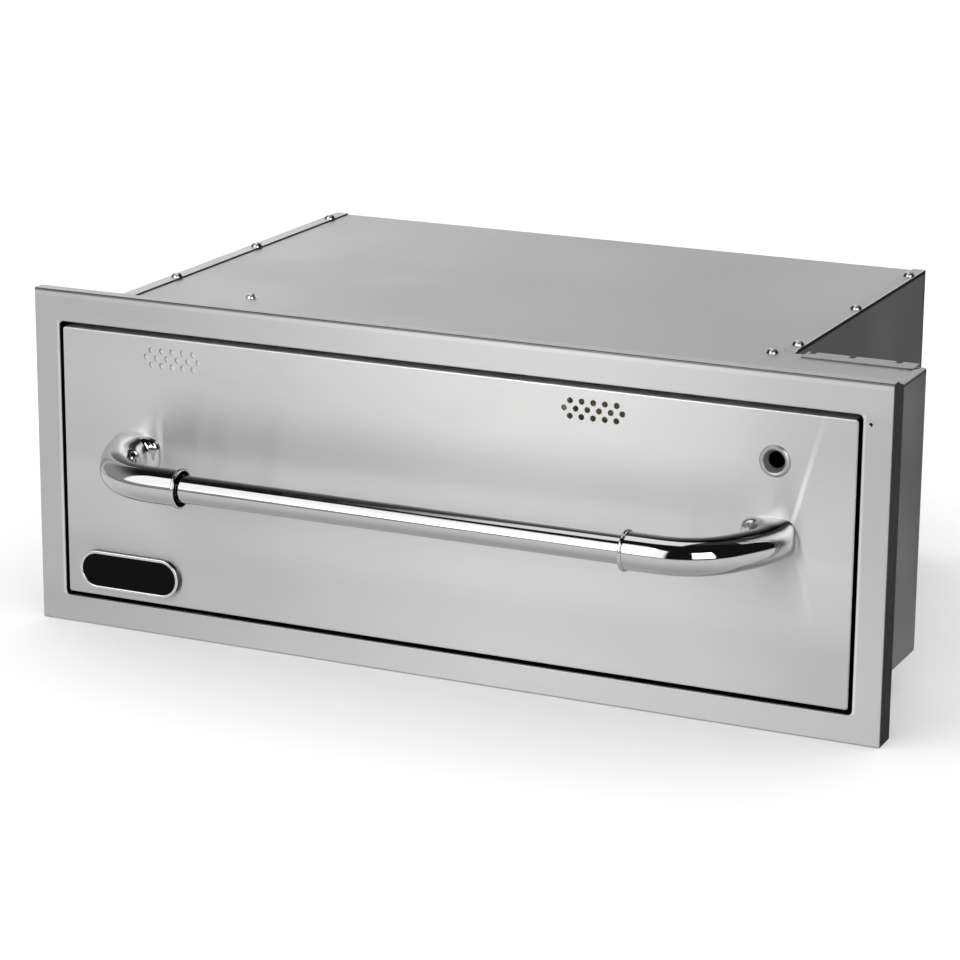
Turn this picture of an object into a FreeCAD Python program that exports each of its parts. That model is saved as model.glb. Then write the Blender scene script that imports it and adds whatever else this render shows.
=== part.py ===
import FreeCAD, Part
import math
import os
import Sketcher
from FreeCAD import Placement, Rotation, Vector

# Built-in warming drawer, 30 inch class, millimetres.
# X runs along the width (the viewer's right is +X), Y runs from the front face
# into the cabinet, Z is up. The pieces are drawn with X = 0 at the middle of the
# trim frame, Y = 0 at its front face and Z = 0 at its lower edge. Every node is
# then moved back by y_mid, so that the origin is the middle of the whole part's
# footprint, at the height of the frame's lower edge.

doc = FreeCAD.newDocument("warming_drawer")
sheet = doc.addObject("Spreadsheet::Sheet", "Dims")

TABLE = [
    # alias, value, note
    ("y_mid", 215.3, "from the frame's front face to the middle of the whole depth"),
    ("frame_w", 762.0, "trim frame width"),
    ("frame_h", 293.0, "trim frame height"),
    ("frame_t", 1.5, "trim frame sheet"),
    ("side_ret", 24.5, "depth of the frame's side returns"),
    ("top_ret", 12.0, "depth of the frame's top and bottom returns"),
    ("ret_drop", 4.5, "fall of the side returns' upper edge towards the rear"),
    ("open_w", 714.3, "frame opening width"),
    ("open_zlo", 23.3, "frame opening lower edge"),
    ("open_zhi", 266.2, "frame opening upper edge"),
    ("open_rad", 4.0, "frame opening corner radius"),
    ("pilot_x", 363.6, "small hole in the right stile"),
    ("pilot_z", 259.2, "small hole in the right stile"),
    ("pilot_rad", 1.6, "small hole in the right stile"),
    ("front_w", 708.2, "drawer front width"),
    ("front_zlo", 26.9, "drawer front lower edge"),
    ("front_zhi", 261.7, "drawer front upper edge"),
    ("front_d", 25.0, "drawer front depth"),
    ("skin", 1.2, "sheet of the drawer front and the casing"),
    ("shell_xl", -360.0, "casing left side"),
    ("shell_xr", 355.5, "control box right side"),
    ("body_xr", 243.0, "casing right side behind the control box"),
    ("shell_zlo", 27.0, "casing underside"),
    ("shell_zhi", 266.4, "casing top sheet, upper face"),
    ("shell_d", 523.0, "casing depth from the front face"),
    ("cbox_d", 166.0, "control box depth from the front face"),
    ("lap_w", 11.8, "width of the side panels' top laps"),
    ("lap_start", 173.0, "front end of the right panel's top lap"),
    ("collar_d", 34.0, "depth of the collar's plate"),
    ("cav_xl", -345.0, "liner left side, outside"),
    ("cav_xr", 229.0, "liner right side, outside"),
    ("cav_zlo", 40.0, "liner underside"),
    ("cav_zhi", 254.0, "liner upper face"),
    ("cav_d", 500.0, "liner rear face"),
    ("liner_t", 1.0, "liner sheet"),
    ("hole_rad", 2.5, "vent hole radius"),
    ("hole_px", 10.0, "vent hole pitch in a row"),
    ("hole_pz", 6.3, "vent row pitch"),
    ("vent_lx", -247.8, "left vent group centre"),
    ("vent_rx", 134.3, "right vent group centre"),
    ("vent_z", 243.9, "vent group height"),
    ("lamp_x", 287.4, "lamp axis"),
    ("lamp_z", 221.4, "lamp axis"),
    ("bez_rad", 12.9, "bezel outer radius"),
    ("bez_mouth", 9.3, "radius of the bezel's funnel at its mouth"),
    ("bez_bore", 6.4, "bezel bore radius"),
    ("bez_deep", 5.5, "depth at which the funnel meets the bore"),
    ("bez_tube", 9.4, "bezel tube radius"),
    ("bez_out", 2.2, "bezel height above the face"),
    ("hdl_z", 158.3, "handle axis height"),
    ("hdl_y", -78.6, "handle axis in front of the face"),
    ("hdl_x", 283.0, "handle foot axis from the middle"),
    ("hdl_mouth", 195.1, "elbow mouth from the middle"),
    ("bar_rad", 11.5, "handle bar radius"),
    ("elb_rad", 15.0, "elbow tube radius"),
    ("bead_rad", 16.75, "bead radius at the elbow mouth"),
    ("bead_w", 3.0, "bead width"),
    ("foot_x", 292.5, "where the elbow's centre line leaves the face, from the middle"),
    ("foot_lean", 8.0, "outward lean of the elbow at the face, degrees"),
    ("foot_in", 16.5, "how far the foot spreads towards the middle"),
    ("foot_up", 2.2, "how far the foot spreads upwards"),
    ("bolt_rad", 3.0, "handle bolt radius"),
    ("badge_x", -292.2, "badge centre"),
    ("badge_z", 50.9, "badge centre"),
    ("badge_w", 96.8, "badge width"),
    ("badge_h", 34.2, "badge height"),
    ("badge_t", 4.4, "badge thickness"),
    ("badge_rim", 2.9, "badge rim width"),
    ("scr_rad", 5.2, "dome screw head radius"),
    ("scr_hgt", 4.0, "dome screw head height"),
    ("shank", 2.0, "dome screw shank radius"),
    ("scr_ya", 191.5, "first row of side screws"),
    ("scr_yb", 341.5, "second row of side screws"),
    ("scr_yc", 491.5, "third row of side screws"),
    ("scr_lx", -351.8, "left side screws"),
    ("scr_rx", 237.2, "right side screws"),
    ("scr_fy", 160.0, "front screw, right"),
    ("scr_fly", 151.5, "front screw, left"),
    ("scr_flx", -254.5, "front screw, left"),
    ("scr_frx", 226.0, "front screw, right"),
    ("slide_z", 142.5, "slide mid height"),
    ("slide_h", 45.0, "slide height"),
    ("slide_t", 1.2, "slide steel"),
    ("slide_y", 40.0, "slide front end"),
    ("slide_len", 450.0, "slide length"),
    ("rail_zlo", 100.0, "drawer side rail lower edge"),
    ("rail_zhi", 180.0, "drawer side rail upper edge"),
    ("rail_end", 470.0, "drawer side rail rear end"),
    ("pan_y", 46.0, "pan front, outside"),
    ("pan_l", 408.0, "pan depth front to back"),
    ("pan_w", 506.0, "pan width"),
    ("pan_x", -58.0, "middle of the cavity and of the pan"),
    ("pan_zlo", 84.0, "pan underside"),
    ("pan_rim", 12.0, "pan rim width"),
    ("pan_t", 1.0, "pan steel"),
    ("rod", 2.0, "rack border wire radius"),
    ("wire", 1.4, "rack cross wire radius"),
    ("elem_rad", 3.2, "heating element radius"),
    ("elem_z", 52.0, "heating element height"),
    ("elem_bend", 165.0, "heating element bend radius"),
    ("elem_y", 95.0, "heating element front"),
    ("ctl_y", 58.0, "control panel front face"),
    ("ctl_x", 300.0, "controls' middle"),
    ("knob_z", 130.0, "thermostat axis"),
    ("knob_rad", 20.0, "thermostat knob radius"),
    ("shaft_rad", 3.0, "thermostat shaft radius"),
    ("sw_z", 72.0, "switch middle"),
    ("cord_x", 322.0, "cord bush axis"),
    ("cord_z", 58.0, "cord bush axis"),
    ("cord_rad", 5.0, "cord bush bore radius"),
    ("mnt_x", 480.0, "fixing holes, across"),
    ("mnt_y", 360.0, "fixing holes, front to back"),
    ("mnt_rad", 2.75, "fixing hole radius"),
    ("mnt_cy", 280.0, "fixing holes, middle"),
]
for row, (alias, value, note) in enumerate(TABLE, start=1):
    sheet.set("A%d" % row, alias)
    sheet.set("B%d" % row, str(value))
    sheet.setAlias("B%d" % row, alias)
    sheet.set("C%d" % row, note)
doc.recompute()


class Dim:
    """A size that carries its spreadsheet expression and its value."""

    def __init__(self, text, value):
        self.text = text
        self.value = float(value)

    def _pair(self, other):
        if isinstance(other, Dim):
            return other.text, other.value
        return repr(float(other)), float(other)

    def __add__(self, other):
        t, v = self._pair(other)
        return Dim("(%s + %s)" % (self.text, t), self.value + v)

    __radd__ = __add__

    def __sub__(self, other):
        t, v = self._pair(other)
        return Dim("(%s - %s)" % (self.text, t), self.value - v)

    def __rsub__(self, other):
        t, v = self._pair(other)
        return Dim("(%s - %s)" % (t, self.text), v - self.value)

    def __mul__(self, other):
        t, v = self._pair(other)
        return Dim("(%s * %s)" % (self.text, t), self.value * v)

    __rmul__ = __mul__

    def __truediv__(self, other):
        t, v = self._pair(other)
        return Dim("(%s / %s)" % (self.text, t), self.value / v)

    def __neg__(self):
        return Dim("(0 - %s)" % self.text, -self.value)


class Sizes:
    pass


S = Sizes()
for alias, value, note in TABLE:
    setattr(S, alias, Dim("Dims." + alias, sheet.get(alias)))


def num(v):
    return v.value if isinstance(v, Dim) else float(v)


def bind(obj, prop, v):
    if isinstance(v, Dim):
        obj.setExpression(prop, v.text)
    else:
        obj.setExpression(prop, repr(float(v)))


NODES = []
BASE_Y = {}


def node(obj, label):
    """Names a finished piece and moves it from the front face's Y to the part's own."""
    obj.Label = label
    bind(obj, "Placement.Base.y", BASE_Y.get(obj.Name, 0) - S.y_mid)
    NODES.append(obj)
    return obj


# ---------------------------------------------------------------- primitives
def box(name, xa, xb, ya, yb, za, zb):
    b = doc.addObject("Part::Box", name)
    bind(b, "Length", xb - xa)
    bind(b, "Width", yb - ya)
    bind(b, "Height", zb - za)
    bind(b, "Placement.Base.x", xa)
    bind(b, "Placement.Base.y", ya)
    bind(b, "Placement.Base.z", za)
    BASE_Y[b.Name] = ya
    return b


TURN = {
    "z": Rotation(),
    "-z": Rotation(Vector(1, 0, 0), 180),
    "y": Rotation(Vector(1, 0, 0), -90),
    "-y": Rotation(Vector(1, 0, 0), 90),
    "x": Rotation(Vector(0, 1, 0), 90),
}


def cyl(name, way, x, y, z, rad, length):
    c = doc.addObject("Part::Cylinder", name)
    c.Placement = Placement(Vector(num(x), num(y), num(z)), TURN[way])
    bind(c, "Radius", rad)
    bind(c, "Height", length)
    bind(c, "Placement.Base.x", x)
    bind(c, "Placement.Base.y", y)
    bind(c, "Placement.Base.z", z)
    BASE_Y[c.Name] = y
    return c


def fuse(name, parts):
    f = doc.addObject("Part::MultiFuse", name)
    f.Shapes = parts
    return f


def group(name, parts):
    g = doc.addObject("Part::Compound", name)
    g.Links = parts
    return g


def cut(name, base, tool):
    c = doc.addObject("Part::Cut", name)
    c.Base = base
    if isinstance(tool, list):
        tool = group(name + "_tools", tool) if len(tool) > 1 else tool[0]
    c.Tool = tool
    return c


# ---------------------------------------------------------------- part design
def new_body(name):
    return doc.addObject("PartDesign::Body", name)


def plane_of(body, role):
    for item in body.Origin.OriginFeatures:
        if item.Role == role:
            return item
    raise RuntimeError("no plane " + role)


def new_sketch(body, name, role, off=0.0):
    s = body.newObject("Sketcher::SketchObject", name)
    s.AttachmentSupport = [(plane_of(body, role), "")]
    s.MapMode = "FlatFace"
    bind(s, "AttachmentOffset.Base.z", off)
    return s


def pin_x(s, tag, geo, pos, v):
    if not isinstance(v, Dim) and v == 0:
        s.addConstraint(Sketcher.Constraint("PointOnObject", geo, pos, -2))
        return
    n = s.addConstraint(Sketcher.Constraint("DistanceX", -1, 1, geo, pos, num(v)))
    s.renameConstraint(n, tag)
    bind(s, "Constraints." + tag, v)


def pin_y(s, tag, geo, pos, v):
    if not isinstance(v, Dim) and v == 0:
        s.addConstraint(Sketcher.Constraint("PointOnObject", geo, pos, -1))
        return
    n = s.addConstraint(Sketcher.Constraint("DistanceY", -1, 1, geo, pos, num(v)))
    s.renameConstraint(n, tag)
    bind(s, "Constraints." + tag, v)


def line(s, a, b):
    return s.addGeometry(Part.LineSegment(Vector(num(a[0]), num(a[1]), 0),
                                          Vector(num(b[0]), num(b[1]), 0)), False)


def rect(s, tag, xa, xb, ya, yb):
    g = [line(s, (xa, ya), (xb, ya)), line(s, (xb, ya), (xb, yb)),
         line(s, (xb, yb), (xa, yb)), line(s, (xa, yb), (xa, ya))]
    for k in range(4):
        s.addConstraint(Sketcher.Constraint("Coincident", g[k], 2, g[(k + 1) % 4], 1))
    s.addConstraint(Sketcher.Constraint("Horizontal", g[0]))
    s.addConstraint(Sketcher.Constraint("Horizontal", g[2]))
    s.addConstraint(Sketcher.Constraint("Vertical", g[1]))
    s.addConstraint(Sketcher.Constraint("Vertical", g[3]))
    pin_x(s, tag + "xa", g[0], 1, xa)
    pin_y(s, tag + "ya", g[0], 1, ya)
    pin_x(s, tag + "xb", g[2], 1, xb)
    pin_y(s, tag + "yb", g[2], 1, yb)


def polygon(s, tag, pts):
    n = len(pts)
    g = [line(s, pts[k], pts[(k + 1) % n]) for k in range(n)]
    for k in range(n):
        s.addConstraint(Sketcher.Constraint("Coincident", g[k], 2, g[(k + 1) % n], 1))
    for k in range(n):
        pin_x(s, "%sx%d" % (tag, k), g[k], 1, pts[k][0])
        pin_y(s, "%sy%d" % (tag, k), g[k], 1, pts[k][1])


def round_rect(s, tag, xa, xb, ya, yb, rad):
    a, b, c, d, r = num(xa), num(xb), num(ya), num(yb), num(rad)
    g0 = s.addGeometry(Part.LineSegment(Vector(a + r, c, 0), Vector(b - r, c, 0)), False)
    g1 = s.addGeometry(Part.LineSegment(Vector(b, c + r, 0), Vector(b, d - r, 0)), False)
    g2 = s.addGeometry(Part.LineSegment(Vector(b - r, d, 0), Vector(a + r, d, 0)), False)
    g3 = s.addGeometry(Part.LineSegment(Vector(a, d - r, 0), Vector(a, c + r, 0)), False)

    def arc(cx, cy, start):
        circle = Part.Circle(Vector(cx, cy, 0), Vector(0, 0, 1), r)
        return s.addGeometry(Part.ArcOfCircle(circle, start, start + math.pi / 2), False)

    k1 = arc(b - r, c + r, -math.pi / 2)
    k2 = arc(b - r, d - r, 0.0)
    k3 = arc(a + r, d - r, math.pi / 2)
    k4 = arc(a + r, c + r, math.pi)
    for one, end, other, start in ((g0, 2, k1, 1), (k1, 2, g1, 1), (g1, 2, k2, 1), (k2, 2, g2, 1),
                                   (g2, 2, k3, 1), (k3, 2, g3, 1), (g3, 2, k4, 1), (k4, 2, g0, 1)):
        s.addConstraint(Sketcher.Constraint("Tangent", one, end, other, start))
    s.addConstraint(Sketcher.Constraint("Horizontal", g0))
    s.addConstraint(Sketcher.Constraint("Vertical", g1))
    for other in (k2, k3, k4):
        s.addConstraint(Sketcher.Constraint("Equal", k1, other))
    n = s.addConstraint(Sketcher.Constraint("Radius", k1, r))
    s.renameConstraint(n, tag + "rad")
    bind(s, "Constraints." + tag + "rad", rad)
    pin_y(s, tag + "ya", g0, 1, ya)
    pin_x(s, tag + "xb", g1, 1, xb)
    pin_y(s, tag + "yb", g2, 1, yb)
    pin_x(s, tag + "xa", g3, 1, xa)


def circle(s, tag, x, y, rad):
    g = s.addGeometry(Part.Circle(Vector(num(x), num(y), 0), Vector(0, 0, 1), num(rad)), False)
    n = s.addConstraint(Sketcher.Constraint("Radius", g, num(rad)))
    s.renameConstraint(n, tag + "rad")
    bind(s, "Constraints." + tag + "rad", rad)
    pin_x(s, tag + "x", g, 3, x)
    pin_y(s, tag + "y", g, 3, y)


def slot(s, tag, x, y, width, height):
    r = height / 2
    half = width / 2 - r
    cx, cy, rr, hh = num(x), num(y), num(r), num(half)
    a1 = s.addGeometry(Part.ArcOfCircle(Part.Circle(Vector(cx + hh, cy, 0), Vector(0, 0, 1), rr),
                                        -math.pi / 2, math.pi / 2), False)
    l1 = s.addGeometry(Part.LineSegment(Vector(cx + hh, cy + rr, 0), Vector(cx - hh, cy + rr, 0)), False)
    a2 = s.addGeometry(Part.ArcOfCircle(Part.Circle(Vector(cx - hh, cy, 0), Vector(0, 0, 1), rr),
                                        math.pi / 2, 3 * math.pi / 2), False)
    l2 = s.addGeometry(Part.LineSegment(Vector(cx - hh, cy - rr, 0), Vector(cx + hh, cy - rr, 0)), False)
    for one, end, other, start in ((a1, 2, l1, 1), (l1, 2, a2, 1), (a2, 2, l2, 1), (l2, 2, a1, 1)):
        s.addConstraint(Sketcher.Constraint("Tangent", one, end, other, start))
    s.addConstraint(Sketcher.Constraint("Horizontal", l1))
    n = s.addConstraint(Sketcher.Constraint("Radius", a1, rr))
    s.renameConstraint(n, tag + "rad")
    bind(s, "Constraints." + tag + "rad", r)
    pin_x(s, tag + "xr", a1, 3, x + half)
    pin_y(s, tag + "yr", a1, 3, y)
    pin_x(s, tag + "xl", a2, 3, x - half)


def pad(body, s, length, rev=False):
    p = body.newObject("PartDesign::Pad", s.Name + "_pad")
    p.Profile = s
    bind(p, "Length", length)
    p.Reversed = rev
    body.Tip = p
    return p


def pocket(body, s, length, rev=False):
    doc.recompute()
    before = body.Shape.Volume
    p = body.newObject("PartDesign::Pocket", s.Name + "_pocket")
    p.Profile = s
    bind(p, "Length", length)
    p.Reversed = rev
    body.Tip = p
    doc.recompute()
    if not body.Shape.Volume < before - 1e-3:
        raise RuntimeError("pocket %s removed nothing" % s.Name)
    return p


def revolve(body, s, axis):
    r = body.newObject("PartDesign::Revolution", s.Name + "_turn")
    r.Profile = s
    r.ReferenceAxis = (s, [axis])
    r.Angle = 360.0
    body.Tip = r
    return r


def soften(body, rad, pick):
    doc.recompute()
    last = body.Tip
    names = ["Edge%d" % (k + 1) for k, e in enumerate(last.Shape.Edges) if pick(e)]
    f = body.newObject("PartDesign::Fillet", body.Name + "_soft%d" % len(body.Group))
    f.Base = (last, names)
    bind(f, "Radius", rad)
    body.Tip = f
    doc.recompute()
    return f


def at_y(e, y):
    return all(abs(v.Point.y - y) < 1e-6 for v in e.Vertexes) and len(e.Vertexes) == 2


# ================================================================ trim frame
hw = S.frame_w / 2
ow = S.open_w / 2
b = new_body("FrameBody")
s = new_sketch(b, "frame_face", "XZ_Plane")
rect(s, "o", -hw, hw, 0, S.frame_h)
round_rect(s, "i", -ow, ow, S.open_zlo, S.open_zhi, S.open_rad)
pad(b, s, S.frame_t, True)
s = new_sketch(b, "frame_left", "XZ_Plane")
rect(s, "f", -hw, S.frame_t - hw, 0, S.frame_h)
pad(b, s, S.side_ret, True)
s = new_sketch(b, "frame_right", "XZ_Plane")
rect(s, "f", hw - S.frame_t, hw, 0, S.frame_h)
pad(b, s, S.side_ret, True)
s = new_sketch(b, "frame_top", "XZ_Plane")
rect(s, "f", -hw, hw, S.frame_h - S.frame_t, S.frame_h)
pad(b, s, S.top_ret, True)
s = new_sketch(b, "frame_bottom", "XZ_Plane")
rect(s, "f", -hw, hw, 0, S.frame_t)
pad(b, s, S.top_ret, True)
# the side returns' upper edges fall towards the rear
for tag, off, rev in (("l", -hw, True), ("r", hw, False)):
    s = new_sketch(b, "frame_fall_" + tag, "YZ_Plane", off)
    polygon(s, "w", [(S.top_ret, S.frame_h - S.frame_t), (S.side_ret + 1, S.frame_h - S.frame_t - S.ret_drop),
                     (S.side_ret + 1, S.frame_h + 1), (S.top_ret, S.frame_h + 1)])
    pocket(b, s, S.frame_t + 0.2, rev)
s = new_sketch(b, "frame_pilot", "XZ_Plane")
circle(s, "p", S.pilot_x, S.pilot_z, S.pilot_rad)
pocket(b, s, S.frame_t + 1)
soften(b, S.frame_t * 0.6,
       lambda e: at_y(e, 0.0) and e.Length > 3.3 * 2 and e.BoundBox.DiagonalLength > 4.0)
node(b, "trim_frame")

# ================================================================ front collar
cw = S.open_w / 2 + 1.0
b = new_body("CollarBody")
s = new_sketch(b, "collar_walls", "XZ_Plane", -S.frame_t)
rect(s, "o", -cw - S.skin, cw + S.skin, S.open_zlo - 1.0 - S.skin, S.open_zhi + 1.0 + S.skin)
rect(s, "i", -cw, cw, S.open_zlo - 1.0, S.open_zhi + 1.0)
pad(b, s, S.collar_d - S.frame_t, True)
s = new_sketch(b, "collar_plate", "XZ_Plane", -S.collar_d)
rect(s, "o", -cw - S.skin, cw + S.skin, S.open_zlo - 1.0 - S.skin, S.open_zhi + 1.0 + S.skin)
rect(s, "i", S.cav_xl + S.liner_t, S.cav_xr - S.liner_t, S.cav_zlo + S.liner_t, S.cav_zhi - S.liner_t)
rect(s, "c", S.cav_xr + 23, S.shell_xr - 9.5, S.cav_zlo + 2, S.cav_zhi - 2)
pad(b, s, S.skin, True)
node(b, "front_collar")

# ================================================================ casing sheets
back = S.collar_d + S.skin          # rear face of the collar
zu = S.shell_zhi                    # top sheet, upper face
zt = S.shell_zhi - S.skin           # top sheet, lower face
lap = S.shell_zhi + S.skin          # upper face of the laps


def dome_screw(name, way, x, y, z, length):
    """Dome head and shank; way is the direction in which the head stands out."""
    # the head is a cap of a sphere whose radius follows from its width and height
    rs = (S.scr_rad * S.scr_rad + S.scr_hgt * S.scr_hgt) / (S.scr_hgt * 2)
    ball = doc.addObject("Part::Sphere", name + "_ball")
    inv = {"z": "-z", "-z": "z", "y": "-y", "-y": "y"}[way]
    d = {"z": (0, 0, 1), "-z": (0, 0, -1), "y": (0, 1, 0), "-y": (0, -1, 0)}[way]
    bind(ball, "Radius", rs)
    drop = S.scr_hgt - rs
    for prop, base, k in (("x", x, d[0]), ("y", y, d[1]), ("z", z, d[2])):
        bind(ball, "Placement.Base." + prop, base + drop * k if k else base)
    keep = cyl(name + "_keep", way, x, y, z, S.scr_rad, S.scr_hgt + 0.5)
    head = doc.addObject("Part::Common", name + "_head")
    head.Base = ball
    head.Tool = keep
    shank = cyl(name + "_shank", inv, x, y, z, S.shank, length)
    return fuse(name, [head, shank])


def screw_hole(name, way, x, y, z, length):
    """Clearance for a shank, long enough to pass the sheets on both sides."""
    inv = {"z": "-z", "-z": "z", "y": "-y", "-y": "y"}[way]
    d = {"z": (0, 0, 1), "-z": (0, 0, -1), "y": (0, 1, 0), "-y": (0, -1, 0)}[way]
    return cyl(name, inv, x, y + 0.5 * d[1] if d[1] else y, z + 0.5 * d[2] if d[2] else z,
               S.shank + 0.1, length)


left_spots = [("la", S.scr_lx, S.scr_ya), ("lb", S.scr_lx, S.scr_yb), ("lc", S.scr_lx, S.scr_yc)]
right_spots = [("ra", S.scr_rx, S.scr_ya), ("rb", S.scr_rx, S.scr_yb), ("rc", S.scr_rx, S.scr_yc)]
front_spots = [("fa", S.scr_flx, S.scr_fly), ("fb", S.scr_frx, S.scr_fy)]

# top sheet: the whole cavity and, at the front right, the control box
b = new_body("TopBody")
s = new_sketch(b, "top_sheet", "XY_Plane", zt)
xr = S.body_xr - S.skin
polygon(s, "t", [(S.shell_xl + S.skin, back), (S.shell_xr, back), (S.shell_xr, S.cbox_d - S.skin),
                 (xr, S.cbox_d - S.skin), (xr, S.shell_d - S.skin), (S.shell_xl + S.skin, S.shell_d - S.skin)])
pad(b, s, S.skin)
s = new_sketch(b, "top_holes", "XY_Plane", zu)
for tag, x, y in left_spots + right_spots + front_spots:
    circle(s, tag, x, y, S.shank + 0.1)
# slanted relief beside the rear lap of the control box
rx0 = S.shell_xr - 12
polygon(s, "slot", [(rx0, S.cbox_d - 13.5), (rx0 + 3, S.cbox_d - 14.5), (rx0 + 8.4, S.cbox_d - 2), (rx0 + 5.2, S.cbox_d - 1.5)])
pocket(b, s, S.skin + 1)
node(b, "top_cover")

# left side with its lap over the top sheet
a1 = box("left_wall", S.shell_xl, S.shell_xl + S.skin, back, S.shell_d, S.shell_zlo, lap)
a2 = box("left_lap", S.shell_xl, S.shell_xl + S.lap_w, back, S.shell_d, zu, lap)
holes = [screw_hole("lh_" + t, "z", x, y, lap, 5.0) for t, x, y in left_spots]
node(cut("LeftPanel", fuse("left_sheet", [a1, a2]), holes), "left_side_panel")

# right side: divides the cavity from the control box, its lap starts behind the box
a1 = box("right_wall_a", xr, S.body_xr, back, S.shell_d, S.shell_zlo + S.skin, zt)
a2 = box("right_wall_b", xr, S.body_xr, S.cbox_d, S.shell_d, zt, lap)
a3 = box("right_lap", S.body_xr - S.lap_w, S.body_xr, S.lap_start, S.shell_d, zu, lap)
a4 = box("right_wall_c", xr, S.body_xr, S.cbox_d, S.shell_d, S.shell_zlo, S.shell_zlo + S.skin)
a5 = box("right_trim", xr - 1, S.body_xr + 1, S.cbox_d - 1, S.lap_start, zu, lap + 1)
holes = [screw_hole("rh_" + t, "z", x, y, lap, 5.0) for t, x, y in right_spots]
holes.append(a5)
holes.append(cyl("wire_pass_r", "x", xr - 1, 120, 60, 5.0, 4))
holes.append(cyl("cap_pass_r", "x", xr - 1, 130, 236, 2.0, 4))
node(cut("RightPanel", fuse("right_sheet", [a1, a2, a3, a4]), holes), "right_side_panel")

# underside, with the four fixing holes
b = new_body("BottomBody")
s = new_sketch(b, "bottom_sheet", "XY_Plane", S.shell_zlo)
polygon(s, "t", [(S.shell_xl + S.skin, back), (S.shell_xr - S.skin, back), (S.shell_xr - S.skin, S.cbox_d - S.skin),
                 (xr, S.cbox_d - S.skin), (xr, S.shell_d - S.skin), (S.shell_xl + S.skin, S.shell_d - S.skin)])
pad(b, s, S.skin)
s = new_sketch(b, "bottom_holes", "XY_Plane", S.shell_zlo + S.skin)
for k, (i, j) in enumerate(((-1, -1), (1, -1), (1, 1), (-1, 1))):
    circle(s, "m%d" % k, S.pan_x + S.mnt_x * (0.5 * i), S.mnt_cy + S.mnt_y * (0.5 * j), S.mnt_rad)
pocket(b, s, S.skin + 1)
node(b, "bottom_panel")

# rear sheet and its screws
a1 = box("rear_sheet", S.shell_xl + S.skin, xr, S.shell_d - S.skin, S.shell_d, S.shell_zlo, zu)
rear_spots = [("r%d" % k, x, z) for k, (x, z) in enumerate(
    [(S.shell_xl + 12, S.shell_zlo + 14), (S.pan_x, S.shell_zlo + 14), (S.body_xr - 12, S.shell_zlo + 14),
     (S.shell_xl + 12, S.shell_zhi - 14), (S.pan_x, S.shell_zhi - 14), (S.body_xr - 12, S.shell_zhi - 14)])]
holes = [screw_hole("bh_" + t, "y", x, S.shell_d, z, 4.0) for t, x, z in rear_spots]
slots = []
for k in range(8):
    slots.append(box("louvre%d" % k, S.pan_x - 49 + 14 * k, S.pan_x - 49 + 14 * k + 4,
                     S.shell_d - 3, S.shell_d + 1, S.shell_zlo + 30, S.shell_zlo + 52))
node(cut("RearPanel", a1, holes + slots), "rear_panel")
node(group("RearScrews", [dome_screw("rs_" + t, "y", x, S.shell_d, z, 3.0) for t, x, z in rear_spots]),
     "rear_panel_screws")

# control box: outer side, rear with its lap, and the panel that carries the controls
node(box("CboxSide", S.shell_xr - S.skin, S.shell_xr, back, S.cbox_d, S.shell_zlo, zt), "control_box_side")
a1 = box("cbox_back", S.body_xr, S.shell_xr - S.skin, S.cbox_d - S.skin, S.cbox_d, S.shell_zlo, zt)
a2 = box("cbox_back_up", S.body_xr, S.shell_xr - S.skin, S.cbox_d - S.skin, S.cbox_d, zt, zu)
a3 = box("cbox_lap", S.body_xr + 10, S.shell_xr - 8, S.cbox_d - 12.5, S.cbox_d + 7, zu, lap)
cb_cuts = [box("cbox_notch%d" % k, x, x + 5.5, S.cbox_d, S.cbox_d + 8, zu - 1, lap + 1)
           for k, x in enumerate((S.body_xr + 12, S.body_xr + 46, S.body_xr + 85.5))]
cb_cuts.append(cyl("cord_pass", "y", S.cord_x, S.cbox_d - 3, S.cord_z, S.cord_rad + 3.0, 5))
cb_spots = [("c%d" % k, x, z) for k, (x, z) in enumerate(
    [(S.body_xr + 12, S.shell_zlo + 14), (S.shell_xr - 12, S.shell_zlo + 14),
     (S.body_xr + 12, S.shell_zhi - 14), (S.shell_xr - 12, S.shell_zhi - 14)])]
cb_cuts += [screw_hole("ch_" + t, "y", x, S.cbox_d, z, 4.0) for t, x, z in cb_spots]
node(cut("CboxRear", fuse("cbox_rear_sheet", [a1, a2, a3]), cb_cuts), "control_box_rear")
node(group("CboxScrews", [dome_screw("cs_" + t, "y", x, S.cbox_d, z, 3.0) for t, x, z in cb_spots]),
     "control_box_screws")

node(group("TopScrews",
           [dome_screw("ts_" + t, "z", x, y, lap, 5.0) for t, x, y in left_spots + right_spots]
           + [dome_screw("ts_" + t, "z", x, y, zu, 4.0) for t, x, y in front_spots]),
     "top_cover_screws")

# ================================================================ cavity liner and insulation
a1 = box("liner_out", S.cav_xl, S.cav_xr, back, S.cav_d, S.cav_zlo, S.cav_zhi)
a2 = box("liner_in", S.cav_xl + S.liner_t, S.cav_xr - S.liner_t, back - 1, S.cav_d - S.liner_t,
         S.cav_zlo + S.liner_t, S.cav_zhi - S.liner_t)
leg = S.elem_bend
liner_cuts = [a2,
              cyl("leg_pass_a", "y", S.pan_x - leg, S.cav_d - 3, S.elem_z, S.elem_rad + 0.6, 5),
              cyl("leg_pass_b", "y", S.pan_x + leg, S.cav_d - 3, S.elem_z, S.elem_rad + 0.6, 5),
              cyl("cap_pass_l", "x", S.cav_xr - 3, 130, 236, 2.0, 5)]
node(cut("Liner", a1, liner_cuts), "cavity_liner")

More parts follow.
